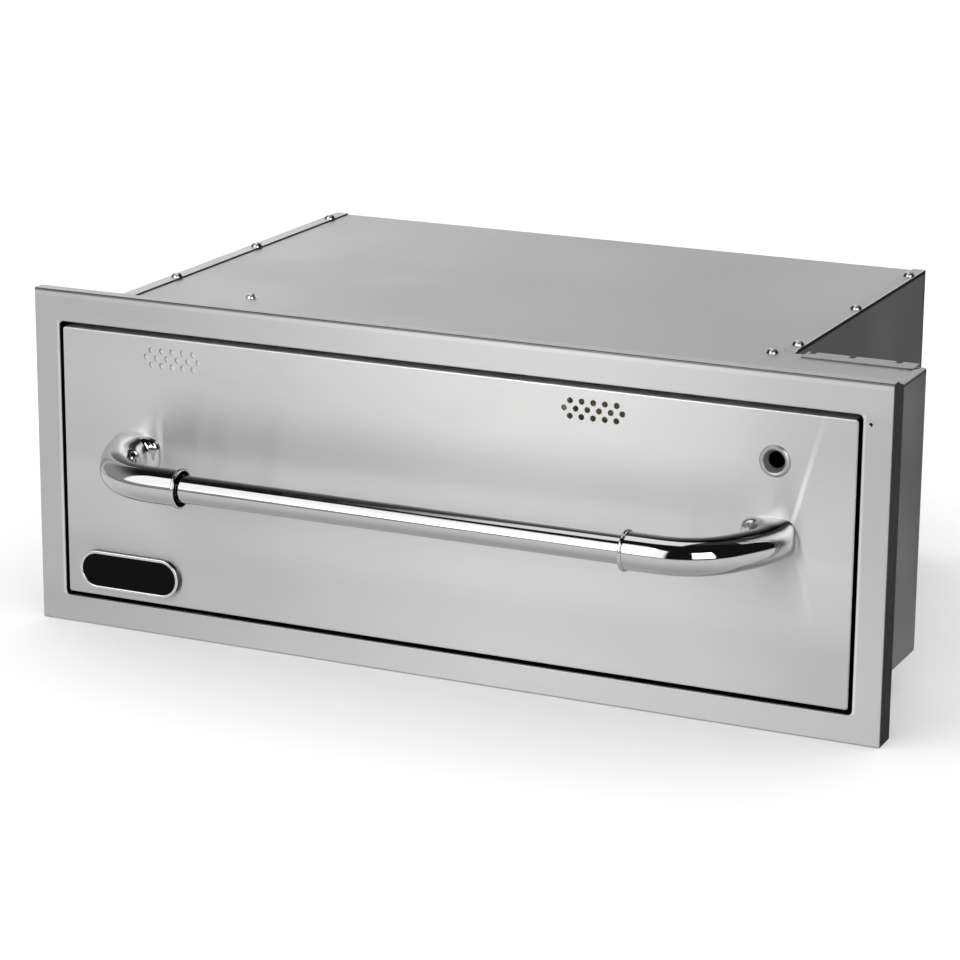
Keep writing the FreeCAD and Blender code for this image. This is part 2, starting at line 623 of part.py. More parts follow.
node(box("InsTop", S.cav_xl, S.cav_xr, back + 0.5, S.cav_d, S.cav_zhi + 0.2, zt - 3.2), "insulation_top")
ins = box("ins_low", S.cav_xl, S.cav_xr, back + 0.5, S.cav_d, S.shell_zlo + S.skin + 0.2, S.cav_zlo - 0.2)
tools = []
for k, (i, j) in enumerate(((-1, -1), (1, -1), (1, 1), (-1, 1))):
    tools.append(cyl("ins_pass%d" % k, "z", S.pan_x + S.mnt_x * (0.5 * i), S.mnt_cy + S.mnt_y * (0.5 * j),
                     S.shell_zlo, S.mnt_rad + 2, 16))
node(cut("InsBottom", ins, tools), "insulation_bottom")
node(box("InsLeft", S.shell_xl + S.skin + 0.2, S.cav_xl - 0.2, back + 0.5, S.cav_d,
         S.shell_zlo + S.skin + 0.2, zt - 8), "insulation_left")
ins = box("ins_r", S.cav_xr + 0.2, xr - 0.2, back + 0.5, S.cav_d, S.shell_zlo + S.skin + 0.2, zt - 8)
node(cut("InsRight", ins, [cyl("wire_pass_i", "x", S.cav_xr - 1, 120, 60, 6.0, 14),
                           cyl("cap_pass_i", "x", S.cav_xr - 1, 130, 236, 3.0, 14)]), "insulation_right")
node(box("InsRear", S.cav_xl, S.cav_xr, S.cav_d + 0.2, S.shell_d - S.skin - 3.4, S.shell_zlo + 62, S.cav_zhi - 30),
     "insulation_rear")

# ================================================================ heating
b = new_body("ElementBody")
path = new_sketch(b, "element_path", "XY_Plane", S.elem_z)
yb = S.elem_y + leg
p_end = S.cav_d + 12
g0 = line(path, (S.pan_x - leg, p_end), (S.pan_x - leg, yb))
g1 = path.addGeometry(Part.ArcOfCircle(Part.Circle(Vector(num(S.pan_x), num(yb), 0), Vector(0, 0, 1), num(leg)),
                                       math.pi, 2 * math.pi), False)
g2 = line(path, (S.pan_x + leg, yb), (S.pan_x + leg, p_end))
path.addConstraint(Sketcher.Constraint("Tangent", g0, 2, g1, 1))
path.addConstraint(Sketcher.Constraint("Tangent", g1, 2, g2, 1))
path.addConstraint(Sketcher.Constraint("Vertical", g0))
pin_x(path, "pxa", g0, 1, S.pan_x - leg)
pin_y(path, "pya", g0, 1, p_end)
pin_x(path, "pxb", g1, 3, S.pan_x)
pin_y(path, "pyb", g1, 3, yb)
pin_y(path, "pyc", g2, 2, p_end)
prof = new_sketch(b, "element_section", "XZ_Plane", -p_end)
circle(prof, "e", S.pan_x - leg, S.elem_z, S.elem_rad)
pipe = b.newObject("PartDesign::AdditivePipe", "element_pipe")
pipe.Profile = prof
pipe.Spine = path
b.Tip = pipe
node(b, "heating_element")

clips = []
for k, (x, y) in enumerate(((S.pan_x - leg, yb + 40), (S.pan_x + leg, yb + 40),
                            (S.pan_x - leg, S.cav_d - 70), (S.pan_x + leg, S.cav_d - 70))):
    c1 = box("clip_post%d" % k, x - 6, x + 6, y, y + 8, S.cav_zlo + S.liner_t, S.elem_z + 4.2)
    c2 = cyl("clip_bore%d" % k, "y", x, y - 1, S.elem_z, S.elem_rad + 0.05, 10)
    clips.append(cut("clip%d" % k, c1, [c2]))
node(group("Clips", clips), "element_clips")

terms = []
for k, x in enumerate((S.pan_x - leg, S.pan_x + leg)):
    t1 = cyl("term_bush%d" % k, "y", x, S.cav_d + 0.2, S.elem_z, S.elem_rad + 3.5, 6)
    t2 = cyl("term_bore%d" % k, "y", x, S.cav_d - 1, S.elem_z, S.elem_rad + 0.05, 10)
    terms.append(cut("term%d" % k, t1, [t2]))
node(group("Terminals", terms), "element_terminals")

# perforated tray over the element, on four feet
a1 = box("tray_plate", S.cav_xl + 40, S.cav_xr - 40, 70, S.cav_d - 25, S.elem_z + 13, S.elem_z + 14)
feet = []
for k, (i, j) in enumerate(((0, 0), (1, 0), (0, 1), (1, 1))):
    x = S.cav_xl + 44 if i == 0 else S.cav_xr - 56
    y = 74 if j == 0 else 459
    feet.append(box("tray_foot%d" % k, x, x + 12, y, y + 12, S.cav_zlo + S.liner_t, S.elem_z + 13))
vents = []
for i in range(7):
    for j in range(3):
        vents.append(box("tray_slot%d_%d" % (i, j), S.pan_x - 213 + 66 * i, S.pan_x - 213 + 66 * i + 30,
                         140 + 110 * j, 148 + 110 * j, S.elem_z + 12, S.elem_z + 15))
node(cut("Tray", fuse("tray_body", [a1] + feet), vents), "heat_spreader")

# thermostat bulb on the right wall of the cavity, held in two clips
node(cyl("Bulb", "y", S.cav_xr - S.liner_t - 6, 70, 236, 3.0, 90), "sensor_bulb")
bulb_clips = []
for k, y in enumerate((82, 138)):
    c1 = box("bclip_block%d" % k, S.cav_xr - S.liner_t - 11, S.cav_xr - S.liner_t, y, y + 8, 231, 241)
    c2 = cyl("bclip_bore%d" % k, "y", S.cav_xr - S.liner_t - 6, y - 1, 236, 3.05, 10)
    bulb_clips.append(cut("bclip%d" % k, c1, [c2]))
node(group("BulbClips", bulb_clips), "sensor_clips")

# ================================================================ controls
b = new_body("PanelBody")
s = new_sketch(b, "ctl_sheet", "XZ_Plane", -S.ctl_y)
rect(s, "o", S.body_xr + 0.2, S.shell_xr - S.skin - 0.2, S.shell_zlo + S.skin + 0.2, zt - 0.2)
circle(s, "k", S.ctl_x, S.knob_z, S.shaft_rad + 2)
circle(s, "l", S.lamp_x, S.lamp_z, 6.1)
rect(s, "w", S.ctl_x - 10.5, S.ctl_x + 10.5, S.sw_z - 16.5, S.sw_z + 16.5)
pad(b, s, S.skin, True)
node(b, "control_panel")

py = S.ctl_y + S.skin               # rear face of the control panel
a1 = box("stat_case", S.ctl_x - 20, S.ctl_x + 20, py, py + 30, S.knob_z - 18, S.knob_z + 18)
a2 = cyl("stat_nose", "y", S.ctl_x, S.ctl_y - 3, S.knob_z, S.shaft_rad + 1.8, 5)
a3 = cyl("stat_bore", "y", S.ctl_x, S.ctl_y - 4, S.knob_z, S.shaft_rad + 0.05, 24)
node(cut("Stat", fuse("stat_body", [a1, a2]), [a3]), "thermostat_body")

node(cyl("StatShaft", "y", S.ctl_x, S.ctl_y - 12, S.knob_z, S.shaft_rad, 26), "thermostat_shaft")
b = new_body("KnobBody")
s = new_sketch(b, "knob_profile", "YZ_Plane", S.ctl_x)
kf = S.ctl_y - 20
polygon(s, "k", [(kf, S.knob_z + S.shaft_rad), (kf, S.knob_z + S.knob_rad - 4), (kf + 2, S.knob_z + S.knob_rad - 2.5),
                 (kf + 12, S.knob_z + S.knob_rad - 1.5), (kf + 13, S.knob_z + S.knob_rad),
                 (kf + 16, S.knob_z + S.knob_rad), (kf + 16, S.knob_z + S.shaft_rad)])
axis_line = s.addGeometry(Part.LineSegment(Vector(num(kf), num(S.knob_z), 0), Vector(num(kf) + 10, num(S.knob_z), 0)), True)
pin_x(s, "axx", axis_line, 1, kf)
pin_y(s, "axy", axis_line, 1, S.knob_z)
s.addConstraint(Sketcher.Constraint("Horizontal", axis_line))
pin_x(s, "axe", axis_line, 2, kf + 10)
r = revolve(b, s, "Axis0")
# blind cap over the bore and the pointer rib
s = new_sketch(b, "knob_cap", "XZ_Plane", -kf)
circle(s, "c", S.ctl_x, S.knob_z, 5.0)
pad(b, s, 7.5, True)
s = new_sketch(b, "knob_rib", "XZ_Plane", -kf)
rect(s, "r", S.ctl_x - 2.6, S.ctl_x + 2.6, S.knob_z - 15, S.knob_z + 15.5)
pad(b, s, 2.2)
node(b, "thermostat_knob")

# rocker switch in the control panel
a1 = box("sw_rim", S.ctl_x - 13, S.ctl_x + 13, S.ctl_y - 2, S.ctl_y, S.sw_z - 19, S.sw_z + 19)
a2 = box("sw_case", S.ctl_x - 10.3, S.ctl_x + 10.3, S.ctl_y, S.ctl_y + 26, S.sw_z - 16.3, S.sw_z + 16.3)
a3 = box("sw_well", S.ctl_x - 8.6, S.ctl_x + 8.6, S.ctl_y - 3, S.ctl_y + 12, S.sw_z - 14.6, S.sw_z + 14.6)
node(cut("SwBody", fuse("sw_outer", [a1, a2]), [a3]), "switch_body")
b = new_body("RockerBody")
s = new_sketch(b, "rocker_profile", "YZ_Plane", 8.2)
polygon(s, "r", [(-5.2, -13.0), (-3.4, 0), (-5.2, 13.0), (3.0, 12.6), (5.0, 3.0), (5.0, -3.0), (3.0, -12.6)])
pad(b, s, 16.4, True)
b.Placement = Placement(Vector(num(S.ctl_x), num(S.ctl_y) + 2, num(S.sw_z)), Rotation(Vector(1, 0, 0), -8))
bind(b, "Placement.Base.x", S.ctl_x)
bind(b, "Placement.Base.z", S.sw_z)
BASE_Y[b.Name] = S.ctl_y + 2
node(b, "switch_rocker")

# pilot lamp behind the sight hole
a1 = cyl("lamp_case", "y", S.lamp_x, S.ctl_y - 14, S.lamp_z, 6.0, 44)
a2 = cyl("lamp_collar", "y", S.lamp_x, S.ctl_y - 2, S.lamp_z, 9.0, 2)
node(fuse("Lamp", [a1, a2]), "pilot_lamp")
lens = cyl("lens_tube", "y", S.lamp_x, S.ctl_y - 22, S.lamp_z, 6.0, 8)
tip = doc.addObject("Part::Sphere", "lens_tip")
bind(tip, "Radius", 6.0)
bind(tip, "Placement.Base.x", S.lamp_x)
bind(tip, "Placement.Base.y", S.ctl_y - 22)
bind(tip, "Placement.Base.z", S.lamp_z)
node(fuse("Lens", [lens, tip]), "lamp_lens")

# terminal block and its screws' row
a1 = box("tb_base", S.ctl_x - 30, S.ctl_x + 30, S.cbox_d - S.skin - 18, S.cbox_d - S.skin, 92, 112)
wells = [box("tb_well%d" % k, S.ctl_x - 26 + 14 * k, S.ctl_x - 26 + 14 * k + 9, S.cbox_d - S.skin - 19,
             S.cbox_d - S.skin - 8, 96, 108) for k in range(4)]
node(cut("TermBlock", a1, wells), "terminal_block")

# cord bush in the rear of the control box
b = new_body("BushBody")
s = new_sketch(b, "bush_profile", "YZ_Plane", S.cord_x)
cy0 = S.cbox_d - S.skin
cz = S.cord_z
polygon(s, "b", [(cy0 - 4, cz + S.cord_rad), (cy0 - 4, cz + S.cord_rad + 6), (cy0, cz + S.cord_rad + 6),
                 (cy0, cz + S.cord_rad + 2.9), (S.cbox_d, cz + S.cord_rad + 2.9), (S.cbox_d, cz + S.cord_rad + 6),
                 (S.cbox_d + 5, cz + S.cord_rad + 4), (S.cbox_d + 5, cz + S.cord_rad)])
ax = s.addGeometry(Part.LineSegment(Vector(num(cy0), num(cz), 0), Vector(num(cy0) + 10, num(cz), 0)), True)
pin_x(s, "axx", ax, 1, cy0)
pin_y(s, "axy", ax, 1, cz)
s.addConstraint(Sketcher.Constraint("Horizontal", ax))
pin_x(s, "axe", ax, 2, cy0 + 10)
revolve(b, s, "Axis0")
node(b, "cord_bush")

# ================================================================ drawer front
fw = S.front_w / 2
b = new_body("SkinBody")
s = new_sketch(b, "skin_block", "XZ_Plane")
round_rect(s, "o", -fw, fw, S.front_zlo, S.front_zhi, S.skin * 2)
pad(b, s, S.front_d, True)
soften(b, S.skin * 0.9, lambda e: abs(e.BoundBox.YMin) < 1e-6 and abs(e.BoundBox.YMax) < 1e-6)
s = new_sketch(b, "skin_hollow", "XZ_Plane", -S.front_d)
rect(s, "h", S.skin - fw, fw - S.skin, S.front_zlo + S.skin, S.front_zhi - S.skin)
pocket(b, s, S.front_d - S.skin, True)
s = new_sketch(b, "skin_vents", "XZ_Plane")
for side, cx in (("l", S.vent_lx), ("r", S.vent_rx)):
    for row, (count, dz) in enumerate(((5, 1), (6, 0), (5, -1))):
        for k in range(count):
            circle(s, "%s%d_%d" % (side, row, k), cx + S.hole_px * (k - (count - 1) / 2.0),
                   S.vent_z + S.hole_pz * dz, S.hole_rad)
pocket(b, s, S.skin + 1)
s = new_sketch(b, "skin_bores", "XZ_Plane")
circle(s, "z", S.lamp_x, S.lamp_z, S.bez_tube + 0.2)
circle(s, "a", -S.hdl_x, S.hdl_z, S.bolt_rad + 0.5)
circle(s, "c", S.hdl_x, S.hdl_z, S.bolt_rad + 0.5)
pocket(b, s, S.skin + 1)
node(b, "drawer_front_skin")

b = new_body("InnerBody")
s = new_sketch(b, "inner_sheet", "XZ_Plane", -(S.front_d - S.skin))
rect(s, "o", S.skin + 0.1 - fw, fw - S.skin - 0.1, S.front_zlo + S.skin + 0.1, S.front_zhi - S.skin - 0.1)
circle(s, "z", S.lamp_x, S.lamp_z, S.bez_tube + 0.2)
circle(s, "a", -S.hdl_x, S.hdl_z, S.bolt_rad + 0.3)
circle(s, "c", S.hdl_x, S.hdl_z, S.bolt_rad + 0.3)
pad(b, s, S.skin, True)
node(b, "drawer_front_inner")

a1 = box("slab", S.skin + 0.6 - fw, fw - S.skin - 0.6, S.skin + 2.6, S.front_d - S.skin - 0.2,
         S.front_zlo + S.skin + 0.6, S.front_zhi - S.skin - 0.6)
tools = [box("duct", S.vent_rx - 22.5, S.vent_rx + 32, S.skin, S.front_d - 6, S.vent_z - 13, S.vent_z + 13),
         cyl("slab_z", "y", S.lamp_x, 0, S.lamp_z, S.bez_tube + 0.6, 30),
         cyl("slab_a", "y", -S.hdl_x, 0, S.hdl_z, S.bolt_rad + 1, 30),
         cyl("slab_c", "y", S.hdl_x, 0, S.hdl_z, S.bolt_rad + 1, 30)]
node(cut("Slab", a1, tools), "front_insulation")

node(box("VentPlate", S.vent_lx - 34, S.vent_lx + 34, S.skin + 0.1, S.skin + 1.1, S.vent_z - 13, S.vent_z + 13),
     "vent_backing_plate")

# sight hole: bezel and tube turned in one piece
b = new_body("BezelBody")
s = new_sketch(b, "bezel_profile", "YZ_Plane", S.lamp_x)
lz = S.lamp_z
polygon(s, "b", [(0, lz + S.bez_rad), (-S.bez_out * 0.6, lz + S.bez_rad - 0.4), (-S.bez_out, lz + S.bez_rad - 1.4),
                 (-S.bez_out, lz + S.bez_mouth + 1.0), (-S.bez_out * 0.8, lz + S.bez_mouth),
                 (S.bez_deep, lz + S.bez_bore), (S.front_d + 1, lz + S.bez_bore), (S.front_d + 1, lz + S.bez_tube),
                 (0, lz + S.bez_tube)])
ax = s.addGeometry(Part.LineSegment(Vector(0, num(lz), 0), Vector(10, num(lz), 0)), True)
pin_x(s, "axx", ax, 1, 0)
pin_y(s, "axy", ax, 1, lz)
s.addConstraint(Sketcher.Constraint("Horizontal", ax))
pin_x(s, "axe", ax, 2, 10)
revolve(b, s, "Axis0")
node(b, "lamp_bezel")

# badge: plain plate in a bright rim
b = new_body("BadgeBody")
s = new_sketch(b, "badge_face", "XZ_Plane")
slot(s, "s", S.badge_x, S.badge_z, S.badge_w - S.badge_rim * 2, S.badge_h - S.badge_rim * 2)
pad(b, s, S.badge_t * 0.75)
node(b, "badge_plate")
b = new_body("RimBody")
s = new_sketch(b, "rim_face", "XZ_Plane")
slot(s, "o", S.badge_x, S.badge_z, S.badge_w, S.badge_h)
slot(s, "i", S.badge_x, S.badge_z, S.badge_w - S.badge_rim * 2 + 0.02, S.badge_h - S.badge_rim * 2 + 0.02)
pad(b, s, S.badge_t)
soften(b, S.badge_rim * 0.3, lambda e: abs(e.BoundBox.YMin + num(S.badge_t)) < 1e-6
       and abs(e.BoundBox.YMax + num(S.badge_t)) < 1e-6)
node(b, "badge_rim")

# seal round the back of the drawer front
b = new_body("SealBody")
s = new_sketch(b, "seal_ring", "XZ_Plane", -S.front_d)
round_rect(s, "o", 1.5 - fw, fw - 1.5, S.front_zlo + 1.5, S.front_zhi - 1.5, 6)
round_rect(s, "i", 7.5 - fw, fw - 7.5, S.front_zlo + 7.5, S.front_zhi - 7.5, 3)
pad(b, s, S.collar_d - S.front_d - 0.4, True)
node(b, "front_seal")

# ================================================================ handle
hb = doc.addObject("Part::Cylinder", "Bar")
hb.Placement = Placement(Vector(-num(S.hdl_mouth), num(S.hdl_y), num(S.hdl_z)), TURN["x"])
bind(hb, "Radius", S.bar_rad)
bind(hb, "Height", S.hdl_mouth * 2)
bind(hb, "Placement.Base.x", -S.hdl_mouth)
BASE_Y[hb.Name] = S.hdl_y
bind(hb, "Placement.Base.z", S.hdl_z)
node(hb, "handle_bar")


# centre line of the elbow from the face: length and turn of each leg
LEGS = ((12, 24), (20, 12), (24, 4), (16, 16), (14, 14), (20, 20), (10, 8))


def elbow_line():
    """Centre line as (x, y, heading, run); the heading goes from straight out (0) to along the bar (90)."""
    x, y, run, head = num(S.foot_x), 0.0, 0.0, -num(S.foot_lean)
    lean = math.radians(head)
    line = [(x + 6 * math.sin(lean), 6 * math.cos(lean), head, 0.0),      # runs on behind the face, trimmed later
            (x, y, head, run)]
    for length, turn in LEGS:
        steps = max(2, int(length / 4.0))
        for _ in range(steps):
            mid = math.radians(head + turn / steps / 2.0)
            x -= math.sin(mid) * length / steps
            y -= math.cos(mid) * length / steps
            head += turn / steps
            run += length / steps
            line.append((x, y, head, run))
    reach = num(S.hdl_y) / y
    line = [(a, b * reach, c, d) for a, b, c, d in line]
    for k in range(1, 4):
        line.append((x + (num(S.hdl_mouth) - x) * k / 3.0, num(S.hdl_y), 90.0, 999.0))
    return line


def elbow_ring(run, count=32):
    """Section of the elbow: (across, up) points, evenly spaced along its outline."""
    near = max(0.0, 1 - run / 9.0) ** 2
    far = max(0.0, 1 - run / 36.0) ** 1.8
    rad = num(S.elb_rad)
    outer, inner = rad - 1.5 * near, rad + num(S.foot_in) * far
    upper, lower = rad + num(S.foot_up) * far, rad - 1.0 * far
    square = max(0.0, 1 - run / 7.0)
    dense = []
    for k in range(720):
        t = math.radians(k / 2.0)
        c, d = math.cos(t), math.sin(t)
        power = (2.0 + 1.6 * square) if c > 0 else (2.0 + 1.4 * far + 0.6 * square)
        dense.append((math.copysign(abs(c) ** (2.0 / power), c) * (outer if c > 0 else inner),
                      math.copysign(abs(d) ** (2.0 / power), d) * (upper if d > 0 else lower)))
    dense.append(dense[0])
    along = [0.0]
    for a, b in zip(dense, dense[1:]):
        along.append(along[-1] + math.hypot(b[0] - a[0], b[1] - a[1]))
    ring, i = [], 0
    for k in range(count):
        want = along[-1] * k / count
        while along[i + 1] < want:
            i += 1
        f = (want - along[i]) / max(1e-9, along[i + 1] - along[i])
        ring.append((dense[i][0] + (dense[i + 1][0] - dense[i][0]) * f, dense[i][1] + (dense[i + 1][1] - dense[i][1]) * f))
    return ring


def elbow_shape(side):
    """Cast elbow: an oblong foot on the face runs into a round, bent tube.

    The section changes along a bent line, so it is lofted through sections.
    """
    zh, mouth = num(S.hdl_z), num(S.hdl_mouth)
    wires = []
    for x, y, head, run in elbow_line():
        ux, uy = math.cos(math.radians(head)), -math.sin(math.radians(head))
        pts = [Vector(side * (x + ux * u), y + uy * u, zh + w) for u, w in elbow_ring(run)]
        curve = Part.BSplineCurve()
        curve.interpolate(Points=pts, PeriodicFlag=True, Parameters=[k / 32.0 for k in range(33)])
        wires.append(Part.Wire([curve.toShape()]))
    solid = Part.makeLoft(wires, True, False)
    # the leaning foot is trimmed flat on the face
    solid = solid.cut(Part.makeBox(90, 20, 60, Vector(side * num(S.foot_x) - 45, 0, zh - 30)))
    # bead round the mouth, and the blind bore for the bolt
    w = num(S.bead_w)
    x0 = mouth if side > 0 else -mouth - w
    bead = Part.makeCylinder(num(S.bead_rad), w, Vector(x0, num(S.hdl_y), zh), Vector(1, 0, 0))
    bead = bead.makeFillet(1.1, [e for e in bead.Edges if e.BoundBox.XLength < 1e-6])
    solid = solid.fuse(bead)
    bore = Part.makeCylinder(num(S.bolt_rad) + 0.1, 14.0, Vector(side * num(S.hdl_x), 1.0, zh), Vector(0, -1, 0))
    solid = solid.cut(bore)
    if solid.ShapeType == "Compound" and len(solid.Solids) == 1:
        solid = solid.Solids[0]
    if solid.Volume < 0:
        solid.reverse()
    return solid


for side, label in ((-1, "handle_elbow_left"), (1, "handle_elbow_right")):
    e = doc.addObject("Part::Feature", "Elbow" + ("L" if side < 0 else "R"))
    e.Shape = elbow_shape(side)
    e.Placement = Placement()
    node(e, label)

bolts = []
for k, x in enumerate((-S.hdl_x, S.hdl_x)):
    h1 = cyl("bolt_head%d" % k, "y", x, S.front_d, S.hdl_z, S.bolt_rad * 2, 4)
    h2 = cyl("bolt_shank%d" % k, "y", x, -12, S.hdl_z, S.bolt_rad, S.front_d + 12.5)
    bolts.append(fuse("bolt%d" % k, [h1, h2]))
node(group("Bolts", bolts), "handle_bolts")

# ================================================================ drawer frame
rl = S.cav_xl + S.liner_t + 13.9     # left rail, outer face
rr = S.cav_xr - S.liner_t - 13.9     # right rail, outer face
fd = S.front_d
for label, xa, xb, ia, ib in (("drawer_rail_left", rl, rl + S.skin, rl, rl + 18),
                              ("drawer_rail_right", rr - S.skin, rr, rr - 18, rr)):
    w1 = box(label + "_web", xa, xb, fd, S.rail_end, S.rail_zlo, S.rail_zhi)
    w2 = box(label + "_ledge", ia, ib, fd, S.rail_end, S.rail_zhi - S.skin, S.rail_zhi)
    w3 = box(label + "_tab", ia, ib, fd, fd + S.skin, S.rail_zlo, S.rail_zhi)
    node(fuse(label + "_f", [w1, w2, w3]), label)
node(box("RearRail", rl + S.skin, rr - S.skin, S.rail_end - S.skin, S.rail_end, S.rail_zlo, S.rail_zhi - S.skin - 0.2),
     "drawer_rear_rail")

# ================================================================ slides
zc = S.slide_z
hh = S.slide_h / 2
st = S.slide_t


def channel(name, xa, xb, wall_low, ya, yb, half):
    """C channel; wall_low is True when its web is at xa."""
    c1 = box(name + "_o", xa, xb, ya, yb, zc - half, zc + half)
    if wall_low:
        c2 = box(name + "_i", xa + st, xb + 1, ya - 1, yb + 1, zc - half + st, zc + half - st)
    else:
        c2 = box(name + "_i", xa - 1, xb - st, ya - 1, yb + 1, zc - half + st, zc + half - st)
    return cut(name, c1, [c2])


y0 = S.slide_y
y1 = S.slide_y + S.slide_len
li = S.cav_xl + S.liner_t + 0.1      # inner face of the liner, left
ri = S.cav_xr - S.liner_t - 0.1
node(channel("SlideOL", li, li + 9.6, True, y0, y1, hh), "slide_outer_left")
node(channel("SlideOR", ri - 9.6, ri, False, y0, y1, hh), "slide_outer_right")
node(channel("SlideML", li + 2.2, li + 9.9, True, y0 + 6, y1 - 6, hh - 2.4), "slide_middle_left")
node(channel("SlideMR", ri - 9.9, ri - 2.2, False, y0 + 6, y1 - 6, hh - 2.4), "slide_middle_right")
node(channel("SlideIL", li + 4.6, rl, False, y0 + 2, S.rail_end - 4, hh - 4.8), "slide_inner_left")
node(channel("SlideIR", rr, ri - 4.6, True, y0 + 2, S.rail_end - 4, hh - 4.8), "slide_inner_right")

# ================================================================ pan and rack
pw = S.pan_w / 2
pz = S.rail_zhi + 0.4                # underside of the pan's rim
b = new_body("PanBody")
s = new_sketch(b, "pan_block", "XY_Plane", S.pan_zlo)
round_rect(s, "o", S.pan_x - pw, S.pan_x + pw, S.pan_y, S.pan_y + S.pan_l, 28)
pad(b, s, pz + S.pan_t - S.pan_zlo)
s = new_sketch(b, "pan_rim", "XY_Plane", pz)
round_rect(s, "r", S.pan_x - pw - S.pan_rim, S.pan_x + pw + S.pan_rim,
           S.pan_y - S.pan_rim + 2, S.pan_y + S.pan_l + S.pan_rim - 2, 30)
pad(b, s, S.pan_t)
s = new_sketch(b, "pan_hollow", "XY_Plane", pz + S.pan_t)
round_rect(s, "h", S.pan_x - pw + S.pan_t, S.pan_x + pw - S.pan_t,
           S.pan_y + S.pan_t, S.pan_y + S.pan_l - S.pan_t, 27)
pocket(b, s, pz - S.pan_zlo)
node(b, "food_pan")

rx = pw - 16
ya = S.pan_y + 16
yz = S.pan_y + S.pan_l - 16
zr = S.pan_zlo + S.pan_t + 18
rods = [cyl("rack_l", "y", S.pan_x - rx, ya, zr, S.rod, yz - ya),
        cyl("rack_r", "y", S.pan_x + rx, ya, zr, S.rod, yz - ya),
        cyl("rack_f", "x", S.pan_x - rx - 1, ya + 3, zr, S.rod, rx * 2 + 2),
        cyl("rack_b", "x", S.pan_x - rx - 1, yz - 3, zr, S.rod, rx * 2 + 2)]
for k in range(17):
    rods.append(cyl("rack_w%d" % k, "y", S.pan_x - rx + rx * 2 * ((k + 1) / 18.0), ya, zr + 2.4, S.wire, yz - ya))
for k, (i, j) in enumerate(((-1, 0), (1, 0), (-1, 1), (1, 1))):
    rods.append(cyl("rack_leg%d" % k, "z", S.pan_x + rx * i, ya + 30 if j == 0 else yz - 30,
                    S.pan_zlo + S.pan_t + 0.3, S.rod, 17.7))
node(fuse("Rack", rods), "wire_rack")


# ================================================================ wiring
def wire_shape(points, rad, bend=6.0):
    """Round wire through corner points, each corner bent to a radius."""
    pts = [Vector(*p) for p in points]
    edges = []
    last = pts[0]
    for k in range(1, len(pts) - 1):
        u = (pts[k - 1] - pts[k]).normalize()
        w = (pts[k + 1] - pts[k]).normalize()
        half = math.acos(max(-1.0, min(1.0, u.dot(w)))) / 2
        back_off = bend / math.tan(half)
        a = pts[k] + u * back_off
        c = pts[k] + w * back_off
        centre = pts[k] + (u + w).normalize() * (bend / math.sin(half))
        m = centre + (pts[k] - centre).normalize() * bend
        edges.append(Part.LineSegment(last, a).toShape())
        edges.append(Part.Arc(a, m, c).toShape())
        last = c
    edges.append(Part.LineSegment(last, pts[-1]).toShape())
    spine = Part.Wire(edges)
    start = (spine.Edges[0].Vertexes[-1].Point - spine.Edges[0].Vertexes[0].Point).normalize()
    ring = Part.Wire([Part.makeCircle(rad, pts[0], start)])
    return spine.makePipeShell([ring], True, False)


cx, cyy = num(S.ctl_x), num(py)
tb = num(S.cbox_d - S.skin) - 18.4
kz, wz, lx, lzz = num(S.knob_z), num(S.sw_z), num(S.lamp_x), num(S.lamp_z)
bf = num(S.body_xr)
runs = [
    [(cx - 4, num(S.ctl_y) + 26.4, wz), (cx - 4, 100, wz), (cx - 4, 100, 86), (cx - 21.5, 124, 86), (cx - 21.5, 124, 102), (cx - 21.5, tb, 102)],
    [(cx + 4, num(S.ctl_y) + 26.4, wz), (cx + 4, 106, wz), (cx + 20.5, 106, wz), (cx + 20.5, 106, 102), (cx + 20.5, tb, 102)],
    [(cx - 10, cyy + 30.4, kz), (cx - 10, 112, kz), (cx - 7.5, 134, 102), (cx - 7.5, tb, 102)],
    [(lx, num(S.ctl_y) + 30.4, lzz), (lx, 118, lzz), (lx + 19, 118, lzz - 30), (cx + 6.5, 130, 102), (cx + 6.5, tb, 102)],
]
wires = [wire_shape(r, 1.4) for r in runs]
w = doc.addObject("Part::Feature", "Loom")
w.Shape = Part.Compound(wires)
w.Placement = Placement()
node(w, "wiring_loom")

cap = [(cx - 14, cyy + 30.4, kz + 8), (cx - 14, 112, kz + 8), (cx - 30, 130, 236), (num(S.cav_xr) - 7, 130, 236)]
t = doc.addObject("Part::Feature", "Capillary")
t.Shape = wire_shape([(cx - 14, cyy + 30.4, kz + 8), (cx - 14, 118, kz + 8), (cx - 32, 130, kz + 40),
                      (cx - 32, 130, 236), (num(S.cav_xr) + 0.0 - 2.4, 130, 236)], 0.9)
t.Placement = Placement()
node(t, "capillary_tube")

# ================================================================ write out
doc.recompute()
problems = []
for o in doc.Objects:
    state = [x for x in o.State if x in ("Invalid", "Error")]
    if state:
        problems.append("%s (%s): %s" % (o.Name, o.Label, state))
for o in NODES:
    if o.Shape.isNull() or not o.Shape.isValid() or not o.Shape.Solids:
        problems.append("bad shape: " + o.Label)
if problems:
    raise RuntimeError("; ".join(problems))
os.makedirs("parts", exist_ok=True)
for o in NODES:
    o.Shape.exportStep("parts/%s.step" % o.Label)
print("nodes", len(NODES))
for o in NODES:
    bb = o.Shape.BoundBox
    print("%-22s solids %2d vol %10.1f  x %.1f..%.1f y %.1f..%.1f z %.1f..%.1f" % (
        o.Label, len(o.Shape.Solids), o.Shape.Volume, bb.XMin, bb.XMax, bb.YMin, bb.YMax, bb.ZMin, bb.ZMax))
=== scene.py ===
import math

import bmesh
import bpy
from mathutils import Matrix, Vector


